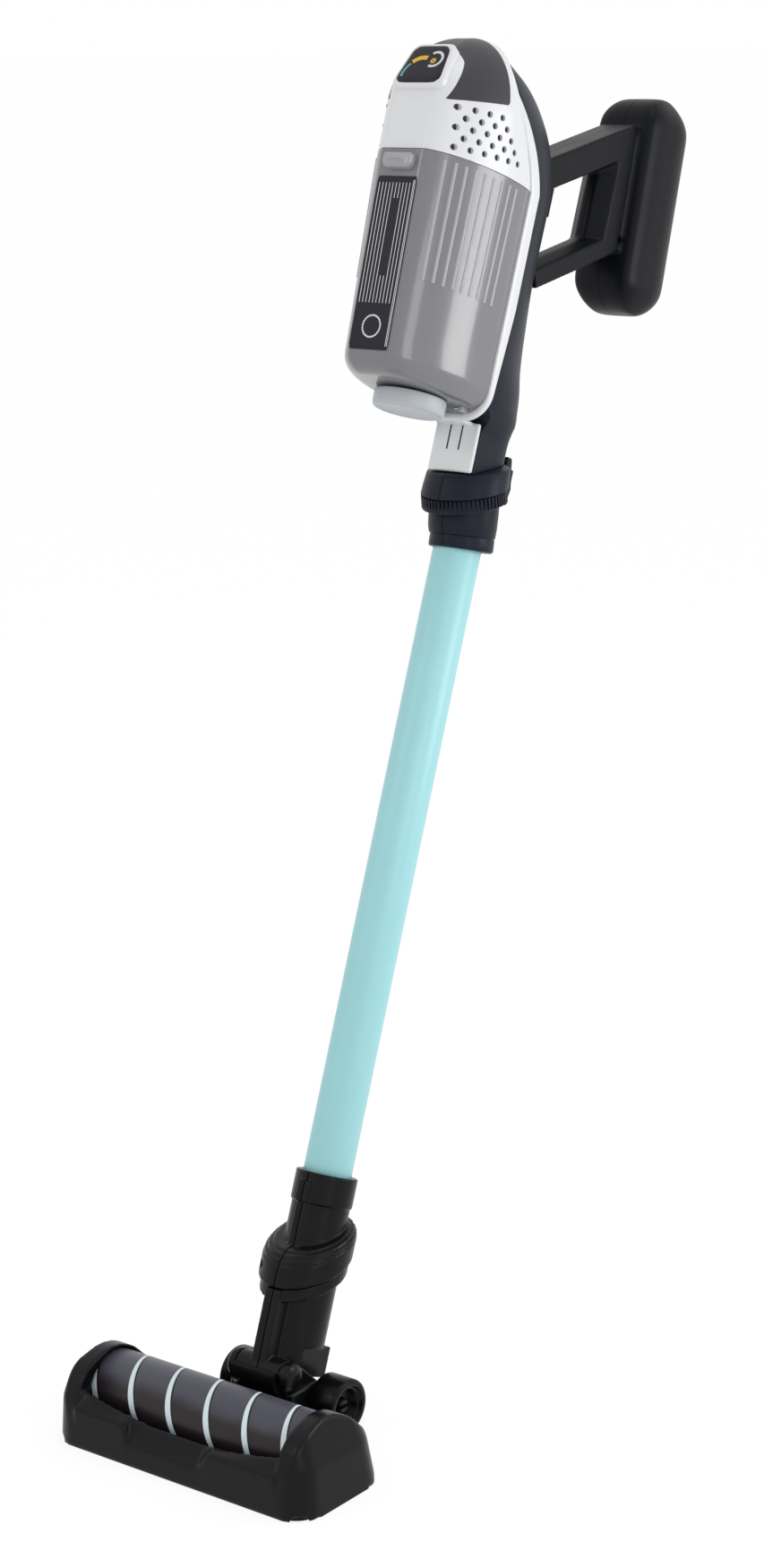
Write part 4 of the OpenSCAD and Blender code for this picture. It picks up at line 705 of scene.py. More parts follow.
def make_head_shell():
    """Floor head: block with leaning walls, cut to the arched ends, with the front rim and the trough."""
    rings = []
    for z in np.linspace(0, ARCH_HEIGHT, 24):
        low = min(z, KNEE_HEIGHT) / KNEE_HEIGHT
        high = max(0.0, z - KNEE_HEIGHT) / (ARCH_HEIGHT - KNEE_HEIGHT)
        share = KNEE_SHARE * low + (1 - KNEE_SHARE) * high
        rear_share = REAR_KNEE_SHARE * low + (1 - REAR_KNEE_SHARE) * high
        ends, front, rear = END_LEAN * share, FRONT_LEAN * share, REAR_LEAN * rear_share
        half_x = HEAD_WIDTH / 2 - ends - HEAD_CORNER
        half_y = (HEAD_DEPTH - front - rear) / 2 - HEAD_CORNER
        ring = []
        for corner, (sx, sy) in enumerate(((1, 1), (-1, 1), (-1, -1), (1, -1))):
            for a in np.radians(np.linspace(90 * corner, 90 * corner + 90, 15)):
                ring.append((sx * half_x + HEAD_CORNER * math.cos(a),
                             (front - rear) / 2 + sy * half_y + HEAD_CORNER * math.sin(a), z))
        rings.append(ring)
    shell = loft("head_shell_moulded", rings)
    arch = rounded([(y * HEAD_DEPTH / 2, z * ARCH_HEIGHT) for y, z in ARCH_SHARES], closed=False)
    combine(shell, "INTERSECT", prism("arch", arch, HEAD_WIDTH, as_given))
    trough_rear = ROLLER_BACK + TROUGH_RADIUS
    combine(shell, "DIFFERENCE",
            cutter("inner", (-END_INNER, -FAR, WELL_FLOOR), (END_INNER, FAR, FAR)),
            cutter("fore", (-END_INNER, -FAR, BELOW), (END_INNER, trough_rear, FAR)))
    stations, front = [], -HEAD_DEPTH / 2
    for x in np.linspace(-END_INNER - 0.5, END_INNER + 0.5, 120):
        share = x / END_INNER
        into, out = (share - NOTCH_FROM) / NOTCH_EASE[0], (NOTCH_TO - share) / NOTCH_EASE[1]
        notch = smooth(np.clip(into, 0, 1) * np.clip(out, 0, 1))
        outer, rim = RIM_OUTER - NOTCH_DEEP * notch, RIM_END - RIM_SAG * (1 - min(1, share ** 2))
        stations.append([(x, front, 0), (x, RIM_BACK, 0), (x, RIM_BACK, rim), (x, RIM_BACK - 1, rim + 0.1),
                         (x, front + 1.6, outer + 0.4), (x, front + 0.5, outer - 0.6)])
    combine(shell, "UNION", loft("rim", stations), block("boss", *BOSS, bevel=0.6, place=as_given))
    combine(shell, "DIFFERENCE",
            plug("trough", TROUGH_RADIUS, -TROUGH_HALF, TROUGH_HALF, on_axle(ROLLER_BACK, ROLLER_HEIGHT)),
            cutter("mouth", (-TROUGH_HALF, ROLLER_BACK - TROUGH_RADIUS, BELOW),
                   (TROUGH_HALF, trough_rear, ROLLER_HEIGHT)),
            cutter("sole", *SOLE_SEAT))
    dress(soften(shell, voxel=1.0, passes=6), "floor_head", "satin_black_abs", ["head_shell"])


def make_roller():
    """Printed sleeve of the roller, with turned-over ends."""
    r, h = ROLLER_RADIUS, ROLLER_HALF
    profile = [(r - 1, -h), (r - 0.5, -h), (r - 0.15, -h + 0.15), (r, -h + 0.5), (r, h - 0.5), (r - 0.15, h - 0.15),
               (r - 0.5, h), (r - 1, h)]
    sleeve = lathe("roller_sleeve_printed", profile, on_axle(ROLLER_BACK, ROLLER_HEIGHT), turns=160)
    dress(sleeve, "roller", "roller_print", ["roller_sleeve"], sharp=50)


def make_wheels():
    """Rear wheels with rounded tread and dished hub, and the bracket that carries them."""
    for name, side in (("wheel_left", -1), ("wheel_right", 1)):
        wheel = lathe(name + "_turned", WHEEL_PROFILE, on_axle(WHEEL_BACK, WHEEL_LEVEL, side, WHEEL_INNER))
        dress(wheel, name, "wheel_black_abs", [name], sharp=40)
    dress(softened_node("wheel_bracket", voxel=0.5, passes=8), "floor_head", "satin_black_abs", ["wheel_bracket"])
    arc = np.radians(np.linspace(*SADDLE_ARC, 19))
    outer, inner = (
        [(PIVOT_BACK - r * math.sin(a), PIVOT_HEIGHT + r * math.cos(a)) for a in arc] + [(foot, SADDLE_FOOT)]
        for r, foot in SADDLE_EDGES)
    saddle = prism("bracket_saddle", outer + inner[::-1], SADDLE_HALF, as_given)
    dress(saddle, "floor_head", "satin_black_abs", sharp=40)
    for name, low, high in BRACKET_FILLERS:
        dress(block(name, low, high, bevel=2.2, place=as_given, segments=4), "floor_head", "satin_black_abs", sharp=50)


def make_neck():
    """Neck halves with softened edges, below and above the swivel groove."""
    for part, body in (("neck_foot", "neck_foot"), ("neck_top", "wand")):
        for side in ("left", "right"):
            node = f"{part}_{side}"
            dress(softened_node(node, voxel=0.5, passes=11), body, "satin_black_abs", [node])


def make_tube():
    """Turquoise tube with rolled ends."""
    r, w = TUBE_RADIUS, TUBE_WALL
    profile = [(r - w, TUBE_FOOT), (r - 0.2, TUBE_FOOT), (r, TUBE_FOOT + 0.3), (r, TUBE_END - 0.3),
               (r - 0.2, TUBE_END), (r - w, TUBE_END)]
    dress(lathe("tube_extruded", profile, on_stick, turns=144), "wand", "turquoise_tube", ["tube"], sharp=50)


def cuff_ring(turn, radius, back, height, tilt):
    """Places on a ring of the cuff, tilted about its own middle; height is measured from the cuff's top."""
    return on_stick(np.stack([
        radius * np.cos(turn), back + radius * np.sin(turn) * math.cos(tilt),
        CUFF_TOP + height + back * math.tan(tilt) + radius * np.sin(turn) * math.sin(tilt)], -1))


def make_cuff():
    """Cuff halves with their ribbed grip band, and the release button with its guards."""
    turn = np.linspace(0, 2 * np.pi, 120, endpoint=False)
    shell = loft("cuff_solid", [
        cuff_ring(turn, radius, back, height, CUFF_TILT * share) for radius, back, height, share in CUFF_RINGS])
    combine(shell, "DIFFERENCE",
            plug("bore", TUBE_RADIUS + 0.05, BORE_FOOT, TUBE_END + 0.2, on_stick, turns=96),
            plug("socket", SOCKET_RADIUS, TUBE_END + SOCKET_FLOOR, SOCKET_TOP, behind_axis(SOCKET_BACK), turns=96))
    for word, side in (("left", -1), ("right", 1)):
        half = half_of(shell, f"cuff_{word}_moulded", side, CUFF_SPLIT)
        dress(half, "wand", "slate_abs", [f"cuff_{word}"], sharp=35)
    drop(shell)
    rows = []
    for angle in np.linspace(0, 2 * np.pi, GRIP_RIBS, endpoint=False):
        spin = Matrix.Rotation(GRIP_TILT, 3, "X") @ Matrix.Rotation(angle - math.pi / 2, 3, "Z")
        rows.append((cuff_ring(np.asarray(angle), *GRIP_RING, GRIP_TILT), stick_turn(spin), GRIP_LONG))
    dress(repeat("cuff_ribs", "bar", rows, *GRIP_SIZE, "slate_abs"), "wand", "slate_abs", sharp=30)
    for name, low, high in BUTTON_GUARDS:
        dress(block(name, low, high, bevel=0.9, place=on_stick), "wand", "slate_abs", sharp=50)
    dress(softened_node("release_button", voxel=0.45, passes=10), "release_button", "slate_abs", ["release_button"])


def hole_rows(sunk=None):
    """Places of the exhaust holes on both sides, as in the part's source; or of the dark discs of painted shade that
    far below the surface.
    """
    rows = []
    turn = stick_turn(Matrix.Rotation(math.pi / 2, 3, "Y"))
    first = BAND_PLANE - HOLE_START
    for row in range(HOLE_ROWS):
        for column in range(row // 2, HOLE_COLUMNS - row % 2):
            y = first - HOLE_LEAN * row - HOLE_STEP * (column + (row % 2) / 2)
            z = SEAM + HOLE_FOOT + HOLE_RISE * row + (y - first + HOLE_COLUMNS * HOLE_STEP) * HOLE_SLANT
            ring = front_ring(z, 0, band_front(z), z)[-56:]
            surface = np.interp(y, ring[:, 1], ring[:, 0])
            middle, deep = DRILL_MIDDLE, DRILL_LONG
            if sunk is not None:
                middle, deep = surface - sunk - SHADE_DISC_LONG / 2, SHADE_DISC_LONG
            for side in (-1, 1):
                rows.append((on_stick((side * middle, y, z)), turn, deep))
    return rows


def band_path():
    """Outline of the band in x and z, from the foot's middle up the right side; and all the way round."""
    half = BAND_SIDE + BAND_PROUD
    right = [(x, BAND_FOOT) for x in np.linspace(0, half - BAND_CORNER, 6)[:-1]]
    for a in np.radians(np.linspace(-90, 0, 14)):
        right.append((half - BAND_CORNER + BAND_CORNER * math.cos(a), BAND_FOOT + BAND_CORNER * (1 + math.sin(a))))
    right += [(half, z) for z in np.linspace(BAND_FOOT + BAND_CORNER, SEAM, 24)[1:-1]]
    right += [(band_half(z) + BAND_PROUD, z) for z in np.linspace(SEAM, UNIT_TOP - 0.6, 40)]
    right = np.asarray(right + [(0, UNIT_TOP)])
    return right, np.vstack([right, right[1:-1][::-1] * (-1, 1)])


def make_casing():
    """White casing: domed housing with its exhaust holes, the band round the cup and the neck plate."""
    housing = housing_loft("housing_moulded", inset=0, foot=SEAM, lower=0.16)
    combine(housing, "DIFFERENCE", repeat("exhaust_holes", "disc", hole_rows(), HOLE_WIDE, HOLE_WIDE, "white_abs"))
    dress(housing, "hand_unit", "white_abs", ["front_casing"], sharp=38)
    # Painted shade: a dark disc just below the surface inside each exhaust hole
    hole_shade_discs = repeat("exhaust_depths", "disc", hole_rows(sunk=1.1), HOLE_WIDE + 0.1, HOLE_WIDE + 0.1, "slit_black")
    dress(hole_shade_discs, "hand_unit", "slit_black", sharp=30)

    right, path = band_path()
    run = np.roll(path, -1, 0) - np.roll(path, 1, 0)
    run /= np.linalg.norm(run, axis=1)[:, None]
    rings = []
    for (x, z), (rx, rz) in zip(path, run):
        deep = rim_deep(z)
        section = [(0, 0), (0, deep), (BAND_WALL, deep), (BAND_WALL, 0)]
        section = rounded(rounded(section, rounds=1, share=BAND_SOFT / max(deep, BAND_WALL)), rounds=1)
        rings.append([(x - rz * t, band_front(z) + y, z + rx * t) for t, y in section])
    dress(loft("band_frame", on_stick(rings), hooped=True), "hand_unit", "white_abs", sharp=45)
    rings = []
    corner = np.linspace(BAND_FOOT + WEB_END, BAND_FOOT + BAND_CORNER, 12)
    for z in np.concatenate([corner, np.linspace(WEB_STRAIGHT, UNIT_TOP - WEB_END, 60)]):
        half = max(0.3, np.interp(z, right[5:, 1], right[5:, 0]) - WEB_SIDE)
        front = band_front(z) + max(0.4, rim_deep(z) - WEB_FRONT)
        rear = band_front(z) + rim_deep(z) - WEB_REAR
        rings.append([(-half, front, z), (half, front, z), (half, rear, z), (-half, rear, z)])
    dress(loft("band_web", on_stick(rings)), "hand_unit", "white_abs", sharp=30)

    low = (-PLATE_HALF, PLATE_FRONT, cuff_plane(PLATE_BACK) + PLATE_GAP)
    high = (PLATE_HALF, PLATE_BACK, PLATE_TOP)
    plate = block("neck_plate", low, high, bevel=1.3, place=on_stick, segments=4)
    dress(plate, "hand_unit", "white_abs", sharp=50)
    shelf = block("neck_shelf", *SHELF, bevel=0.5, place=on_stick)
    dress(shelf, "hand_unit", "white_abs", sharp=50)
    upright = stick_turn(Matrix.Identity(3))
    # Painted shade: dark bars on the plate's face stand for its slits
    rows = [(on_stick((side * SLIT_SIDE, PLATE_FRONT + 0.1, SLIT_LEVEL)), upright, SLIT_LONG) for side in (-1, 1)]
    dress(repeat("neck_slits", "bar", rows, *SLIT_SIZE, "slit_black"), "hand_unit", "slit_black", sharp=30)
    for index, x in enumerate(KNUCKLE_PLACES):
        low, high = (x, *KNUCKLE_LOW), (x + KNUCKLE_WIDE, *KNUCKLE_HIGH)
        knuckle = block(f"casing_knuckle_{index + 1}", low, high, bevel=0.9, place=on_stick)
        dress(knuckle, "hand_unit", "smoky_rib", sharp=50)


def make_panel():
    """Dark shoulder inlay over the top of the housing."""
    outline = [(BAND_PLANE - sx * UNIT_REACH, SEAM + sy * HOUSING_HEIGHT) for sx, sy in PANEL_SHARES]
    outline = rounded(outline, rounds=1, share=0.03)
    skin = housing_loft("shoulder_panel_moulded", inset=-0.08, foot=SEAM, lower=0.08)
    combine(skin, "INTERSECT", prism("panel_region", outline, half=60, place=on_stick))
    combine(skin, "DIFFERENCE", housing_loft("panel_inside", inset=1.2, foot=SEAM - 1, lower=1.2))
    dress(skin, "hand_unit", "panel_grey_abs", ["shoulder_panel"], sharp=40)


def display_ring(grow, height):
    """Ring round the display, drawn out by grow at a height over its face."""
    half, tall, crown = DISPLAY_HALF + grow, DISPLAY_TALL + grow, DISPLAY_HALF * DISPLAY_CROWN + grow
    outline = rounded([(-half, -tall), (half, -tall), (crown, tall), (-crown, tall)], rounds=3, share=0.12)
    return [(x, y, height) for x, y in outline]


def make_display():
    """Glossy display in its white bezel, with a plain gauge."""
    place = on_face(UNIT_REACH - DISPLAY_SINK, DISPLAY_LEVEL, DISPLAY_TILT)
    bezel = loft("display_bezel", place([display_ring(*step) for step in BEZEL_STEPS]))
    dress(bezel, "hand_unit", "white_abs", sharp=50)
    glass = loft("display_film", place([display_ring(*step) for step in GLASS_STEPS]))
    dress(glass, "hand_unit", "violet_film", ["display_panel"], sharp=50)
    for name, ink, (cx, cy), radius, first, last, count, width, deep in GAUGES:
        ticks = []
        for angle in np.radians(np.linspace(first, last, count)):
            spin = Matrix.Rotation(DISPLAY_TILT, 3, "X") @ Matrix.Rotation(angle - math.pi / 2, 3, "Z")
            at = place((cx + radius * math.cos(angle), cy + radius * math.sin(angle), GAUGE_PROUD))
            ticks.append((at, stick_turn(spin), GAUGE_THICK))
        dress(repeat(name, "bar", ticks, width, deep, ink), "hand_unit", ink, sharp=30)


def spine_values(z):
    """Half width, back and roundness of the rear casing at a height, eased between its rows."""
    rows = np.asarray(SPINE_ROWS)
    knots, values = rows[:, 0], rows[:, 1:]
    last = len(knots) - 1
    share = min(max((z - SPINE_FOOT) / (UNIT_TOP - SPINE_FOOT), knots[0]), knots[-1])
    i = min(int(np.searchsorted(knots, share, "right")) - 1, last - 1)
    step = knots[i + 1] - knots[i]
    t = (share - knots[i]) / step
    slopes = []
    for j in (i, i + 1):
        a, b = max(j - 1, 0), min(j + 1, last)
        slopes.append((values[b] - values[a]) / (knots[b] - knots[a]))
    return ((1 + 2 * t) * (1 - t) ** 2 * values[i] + t * (1 - t) ** 2 * step * slopes[0]
            + smooth(t) * values[i + 1] + t * t * (t - 1) * step * slopes[1])


def spine_ring(z, side, front):
    """Half section of the rear casing on one side, closed along the seam."""
    half, back, power = spine_values(z)
    back = max(back * SPINE_DEPTH, front + 0.4)
    turn = np.linspace(0, np.pi / 2, SPINE_STEPS + 1)
    deep = np.minimum(1, np.sin(turn) ** (2 / power) / SPINE_LAND)
    wide = np.maximum(half * SPINE_WIDE * np.cos(turn).clip(0, 1) ** (2 / power), SEAM_HALF)
    ring = [(side * x, front + (back - front) * d, z) for x, d in zip(wide, deep)]
    return np.asarray(ring + [(side * SEAM_HALF, front, z)])


def make_rear_casing():
    """Slate rear casing in two halves: the shell behind the band and the neck behind the plate."""
    foot = BAND_FOOT + SPINE_RISE
    for name, side in (("rear_casing_left", -1), ("rear_casing_right", 1)):
        seat = spine_ring(SPINE_FOOT, side, SPINE_FRONT)
        seat[:, 2] = cuff_plane(seat[:, 1]) + SPINE_PLAY
        rings = [seat] + [spine_ring(z, side, SPINE_FRONT) for z in (*SPINE_LEVELS, foot - 0.2)]
        low = np.linspace(foot, foot + SPINE_EASE, 14)
        for z in np.concatenate([low, np.linspace(foot + SPINE_EASE + 2, UNIT_TOP - SPINE_END, 76)]):
            ease = smooth(min(1.0, (z - foot) / SPINE_EASE))
            front = SPINE_FRONT * (1 - ease) + (band_front(z) + rim_deep(z) + 0.05) * ease
            rings.append(spine_ring(z, side, front))
        dress(loft(name + "_moulded", on_stick(rings)), "hand_unit", "slate_abs", [name], sharp=40)


def handle_solid():
    """Loop frame and battery end as one soft solid."""
    c, s, slope = math.cos(ARM_RISE), math.sin(ARM_RISE), math.tan(ARM_RISE)
    (upper_root, upper_rise, upper_tall), (lower_root, lower_rise, lower_tall) = UPPER_ARM, LOWER_ARM

    def arm(name, root, rise, tall):
        half, run = tall / 2, ARM_END - root
        ends = ((-ARM_ROOT, -half), (run, -half), (run, half), (-ARM_ROOT, half))
        outline = [(root + u * c - v * s, UNIT_FOOT + rise + u * s + v * c) for u, v in ends]
        return prism(name, outline, ARM_HALF, on_stick)

    def corners(spread):
        low = UNIT_FOOT + lower_rise + lower_tall / 2 / c + (GRIP_FRONT - lower_root) * slope
        high = UNIT_FOOT + upper_rise - upper_tall / 2 / c + (GRIP_FRONT - upper_root) * slope
        rear, fall = GRIP_FRONT + spread, (GRIP_FRONT - OPENING_FRONT) * slope
        return [(OPENING_FRONT, low - fall - spread / 2), (rear, low + spread * slope - spread / 2),
                (rear, high + spread * slope + spread / 2), (OPENING_FRONT, high - fall + spread / 2)]

    rings = []
    bc, bs = math.cos(BATTERY_LEAN), math.sin(BATTERY_LEAN)
    for t in np.linspace(-1, 1, 61):
        t = math.sin(t * math.pi / 2) * BATTERY_TALL / 2
        over = max(0.0, abs(t) - (BATTERY_TALL / 2 - BATTERY_CORNER))
        deep = BATTERY_DEPTH - 2 * (BATTERY_CORNER - math.sqrt(max(0.02, BATTERY_CORNER ** 2 - over ** 2)))
        narrow = max(0.0, abs(t) - BATTERY_STRAIGHT) / (BATTERY_TALL / 2 - BATTERY_STRAIGHT)
        wide = BATTERY_WIDE * (1 - BATTERY_NARROWING * narrow ** 2)
        plan = rounded([(x * wide, y * deep) for x, y in BATTERY_PLAN], rounds=2, share=0.2)
        rings.append([(x, BATTERY_REAR - BATTERY_DEPTH / 2 + y * bc - t * bs, BATTERY_MIDDLE + y * bs + t * bc)
                      for x, y in plan])
    solid = loft("handle_solid", on_stick(rings))
    (_, low), (_, high) = corners(0)[1:3]
    low, high, rise = low - lower_tall / 2, high + upper_tall / 2, slope * (ARM_END - GRIP_FRONT)
    grip = [(GRIP_FRONT, low), (ARM_END, low + rise), (ARM_END, high + rise), (GRIP_FRONT, high)]
    combine(solid, "UNION", arm("upper_arm", *UPPER_ARM), arm("lower_arm", *LOWER_ARM),
            prism("grip", grip, ARM_HALF, on_stick))
    edge = ARM_HALF + 1
    flare = [[(x, y, z) for y, z in corners(spread)] for x, spread in (
        (-edge, OPENING_FLARE), (-OPENING_LAND, 0), (OPENING_LAND, 0), (edge, OPENING_FLARE))]
    combine(solid, "DIFFERENCE", loft("opening", on_stick(flare)), cutter("slot", *TRIGGER_SLOT, on_stick))
    return soften(solid, voxel=0.75, passes=16)


def make_handle():
    """Handle in two halves with a fine seam, and the trigger under its upper arm."""
    solid = handle_solid()
    for side, word in ((-1, "left"), (1, "right")):
        half = half_of(solid, f"handle_{word}_moulded", side, SEAM_HALF)
        dress(half, "hand_unit", "charcoal_abs", [f"handle_{word}"], sharp=60)
    drop(solid)
    dress(softened_node("trigger", voxel=0.4, passes=10), "trigger", "charcoal_abs", ["trigger"])


def cup_rings(inset):
    """Rings of the cup from its rounded foot, which sinks towards the rear, to its rim."""
    back, rim = BAND_PLANE - CUP_GAP - inset, SEAM - CUP_GAP
    rings = []
    for share in FOOT_SHARES:
        rise = share * CUP_ROUND
        drawn = CUP_ROUND - math.sqrt(CUP_ROUND ** 2 - max(0.0, CUP_ROUND - rise) ** 2)
        rings.append(front_ring(CUP_FOOT + rise, inset + drawn, back, CUP_FOOT + rise + inset))
    for z in np.linspace(CUP_FOOT + CUP_ROUND, rim, 14)[1:-1]:
        rings.append(front_ring(z, inset, back, z + inset * 0.5))
    rings.append(front_ring(rim, inset, back, rim))
    for ring in rings:
        ring[:, 2] -= CUP_SAG * np.clip((SAG_TOP - ring[:, 2]) / SAG_RUN, 0, 1) * (ring[:, 1] + UNIT_REACH) / SAG_REACH
    return rings


def make_cup():
    """Smoky dust cup with moulded ribs, its printed label, the turning cap and the latch."""
    cup = loft("dust_cup_moulded", on_stick(cup_rings(0) + cup_rings(CUP_WALL)[::-1]))
    dress(cup, "dust_cup", "smoky_polystyrene", ["dust_cup"], sharp=40)
    sizes = bpy.context.scene.toy_vacuum_sizes
    rows = []
    foot, top = (front_ring(z, 0.1, BAND_PLANE - CUP_GAP, z, steps=400) for z in (RIB_FOOT, RIB_TOP))
    run = np.concatenate([[0], np.cumsum(np.linalg.norm(np.diff(foot[:, :2], axis=0), axis=1))])
    for index in range(sizes.rib_count):
        for side in (-1, 1):
            at = run[-1] / 2 + side * (RIB_START + sizes.rib_pitch / MM * index)
            low, high, ahead = (
                Vector([float(np.interp(way, run, ring[:, k])) for k in range(3)])
                for ring, way in ((foot, at), (top, at), (foot, at + 0.5)))
            up = (high - low).normalized()
            out = up.cross(ahead - low).normalized()
            axes = Matrix((out.cross(up), out, up)).transposed()
            rows.append((on_stick(tuple((low + high) / 2)), stick_turn(axes), (high - low).length))
    # The ribs' paler finish is painted sheen
    dress(repeat("cup_ribs", "disc", rows, RIB_WIDE, RIB_PROUD, "smoky_rib"), "dust_cup", "smoky_rib", sharp=40)
    make_label()
    cap = lathe("cup_cap_moulded", CAP_PROFILE, behind_axis(CAP_CENTRE), turns=144)
    dress(cap, "cup_cap", "pale_polypropylene", ["cup_cap"], sharp=50)
    make_latch()


def make_label():
    """Label on the cup's flat front, with plain lines and a ring."""
    slope = math.atan(CUP_TAPER / CUP_HEIGHT)
    foot, middle = CUP_FOOT + LABEL_RISE, LABEL_TALL / 2
    place = on_face(front_reach(foot) + LABEL_OUT, foot, math.pi / 2 + slope)
    outline = [(-LABEL_HALF, 0), (LABEL_HALF, 0), (LABEL_HALF, LABEL_TALL), (-LABEL_HALF, LABEL_TALL)]
    outline = rounded(outline, rounds=3, share=0.03)
    label = loft("cup_label_film", place([
        [(x * k, middle + (y - middle) * k, h) for x, y in outline] for k, h in LABEL_STEPS]))
    dress(label, "dust_cup", "label_film", ["cup_label"], sharp=30)
    upright = Matrix.Rotation(slope, 3, "X")
    break_foot, break_top = LINE_BREAK
    across = [LINE_START + LINE_STEP * index for index in range(LINE_COUNT)]
    lines = [(x, break_top if i in LINE_GAP else LINE_FOOT, LINE_TOP) for i, x in enumerate(across)]
    lines += [(across[i], LINE_FOOT, break_foot) for i in LINE_GAP] + [(x, EDGE_FOOT, EDGE_TOP) for x in EDGE_LINES]
    rows = [(place((x, (low + high) / 2, INK_OUT)), stick_turn(upright), high - low) for x, low, high in lines]
    printed = repeat("label_lines", "bar", rows, LINE_WIDE, INK_THICK, "white_ink")
    dress(printed, "dust_cup", "white_ink", sharp=30)
    dial = []
    for angle in np.linspace(0, 2 * np.pi, DIAL_COUNT, endpoint=False):
        spin = upright @ Matrix.Rotation(math.pi / 2 - angle, 3, "Y")
        at = place((DIAL_RADIUS * math.cos(angle), DIAL_LEVEL + DIAL_RADIUS * math.sin(angle), INK_OUT))
        dial.append((at, stick_turn(spin), DIAL_DEEP))
    dress(repeat("label_ring", "bar", dial, DIAL_WIDE, INK_THICK, "white_ink"), "dust_cup", "white_ink", sharp=30)


def make_latch():
    """Cup latch: a flat tab with rounded lower corners and a finger dish."""
    tab = [(cx, cz, radius, a) for cx, cz, radius, first in LATCH_CORNERS
           for a in np.radians(np.linspace(first, first + 90, 9))]
    latch = loft("cup_latch_moulded", on_stick([
        [(cx + (r - inset) * math.cos(a), y, cz + (r - inset) * math.sin(a)) for cx, cz, r, a in tab]
        for inset, y in LATCH_STEPS]))
    dish = lathe("latch_dish", DISH_PROFILE, lambda p: on_stick(np.stack([
        p[..., 0], DISH_FRONT + p[..., 2], DISH_LEVEL + p[..., 1] * DISH_SQUASH], -1)), turns=64)
    combine(latch, "DIFFERENCE", dish)
    dress(latch, "cup_latch", "smoky_rib", ["cup_latch"], sharp=40)


def make_fittings():
    """Finishes of the pieces that keep their CAD shape: sole, roller core, bushes, nozzle, screws and pins."""
    for name, nodes in KEPT_NODES.items():
        for node in nodes:
            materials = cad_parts[node].data.materials
            materials.clear()
            materials.append(finish(name))


def seen_rays(tree):
    """Socket that is 1 for camera, glossy and transmission rays."""
    rays = add(tree, "ShaderNodeLightPath").outputs
    seen = rays["Is Camera Ray"]
    for kind in ("Is Glossy Ray", "Is Transmission Ray"):
        seen = add(tree, "ShaderNodeMath", {0: seen, 1: rays[kind]}, operation="MAXIMUM").outputs[0]
    return seen


def make_stage():
    """Pale floor and backdrop, soft studio light and the camera of the photograph."""
    scene = bpy.context.scene
    scene.view_settings.view_transform = "Standard"
    far = FLOOR_HALF
    floor = new_piece("floor", [(-far, -far, 0), (far, -far, 0), (far, far, 0), (-far, far, 0)], [(0, 1, 2, 3)])
    # Pale floor: nearly white to the eye, it keeps a faint shadow and lights the toy from below as a plain board does
    material, tree = blank("pale_floor")
    share = add(tree, "ShaderNodeMath", {0: seen_rays(tree), 1: FLOOR_SHARE}, operation="MULTIPLY")
    plain = add(tree, "ShaderNodeBsdfDiffuse", {0: opaque(srgb("#f4f4f4"))})
    lit = add(tree, "ShaderNodeEmission", {0: (1.0, 1.0, 1.0, 1.0), 1: FLOOR_LIGHT})
    both = add(tree, "ShaderNodeMixShader", {0: share.outputs[0], 1: plain.outputs[0], 2: lit.outputs[0]})
    add(tree, "ShaderNodeOutputMaterial", {0: both.outputs[0]})
    floor.data.materials.append(material)

    scene.world = scene.world or bpy.data.worlds.new("studio")
    scene.world.use_nodes = True
    tree = scene.world.node_tree
    tree.nodes.clear()
    level = add(tree, "ShaderNodeMapRange", {"Value": seen_rays(tree), "To Min": SKY_DIFFUSE, "To Max": 1.0})
    sky = add(tree, "ShaderNodeBackground", {0: (1.0, 1.0, 1.0, 1.0), 1: level.outputs[0]})
    add(tree, "ShaderNodeOutputWorld", {0: sky.outputs[0]})

    for name, place, size, tall, power in LAMPS:
        lamp = bpy.data.lights.new(name, "AREA")
        lamp.shape = "RECTANGLE"
        lamp.size, lamp.size_y = size, tall
        lamp.energy = power
        holder = stand(name, lamp)
        holder.location = place
        holder.rotation_euler = (Vector(LAMP_TARGET) - Vector(place)).to_track_quat("-Z", "Y").to_euler()

    data = bpy.data.cameras.new("photo_camera")
    data.sensor_fit = "VERTICAL"
    data.sensor_height = SENSOR
    data.lens = SENSOR * PHOTO_FOCAL / PHOTO_HEIGHT
    data.clip_end = 50
    a, tilt, roll = CAMERA_TURN, CAMERA_PITCH, CAMERA_ROLL
    toward = Vector((math.sin(a) * math.cos(tilt), -math.cos(a) * math.cos(tilt), math.sin(tilt)))
    right = Vector((math.cos(a), math.sin(a), 0))
    up = toward.cross(right)
    across = right * math.cos(roll) + up * math.sin(roll)
    upright = up * math.cos(roll) - right * math.sin(roll)
    pose = Matrix((across, upright, toward)).transposed().to_4x4()
    pose.translation = Vector(CAMERA_PLACE) * MM
    scene.camera = stand("photo_camera", data)
    scene.camera.matrix_world = pose


# Settings, operators and panel

def colour(label, words, code):
    """Colour setting with an sRGB default."""
    return bpy.props.FloatVectorProperty(
        name=label, description=words, subtype="COLOR", size=3, min=0.0, max=1.0, default=srgb(code))


def length(label, words, size):
    """Length setting with a default in millimetres."""
    return bpy.props.FloatProperty(name=label, description=words, default=size * MM, unit="LENGTH")


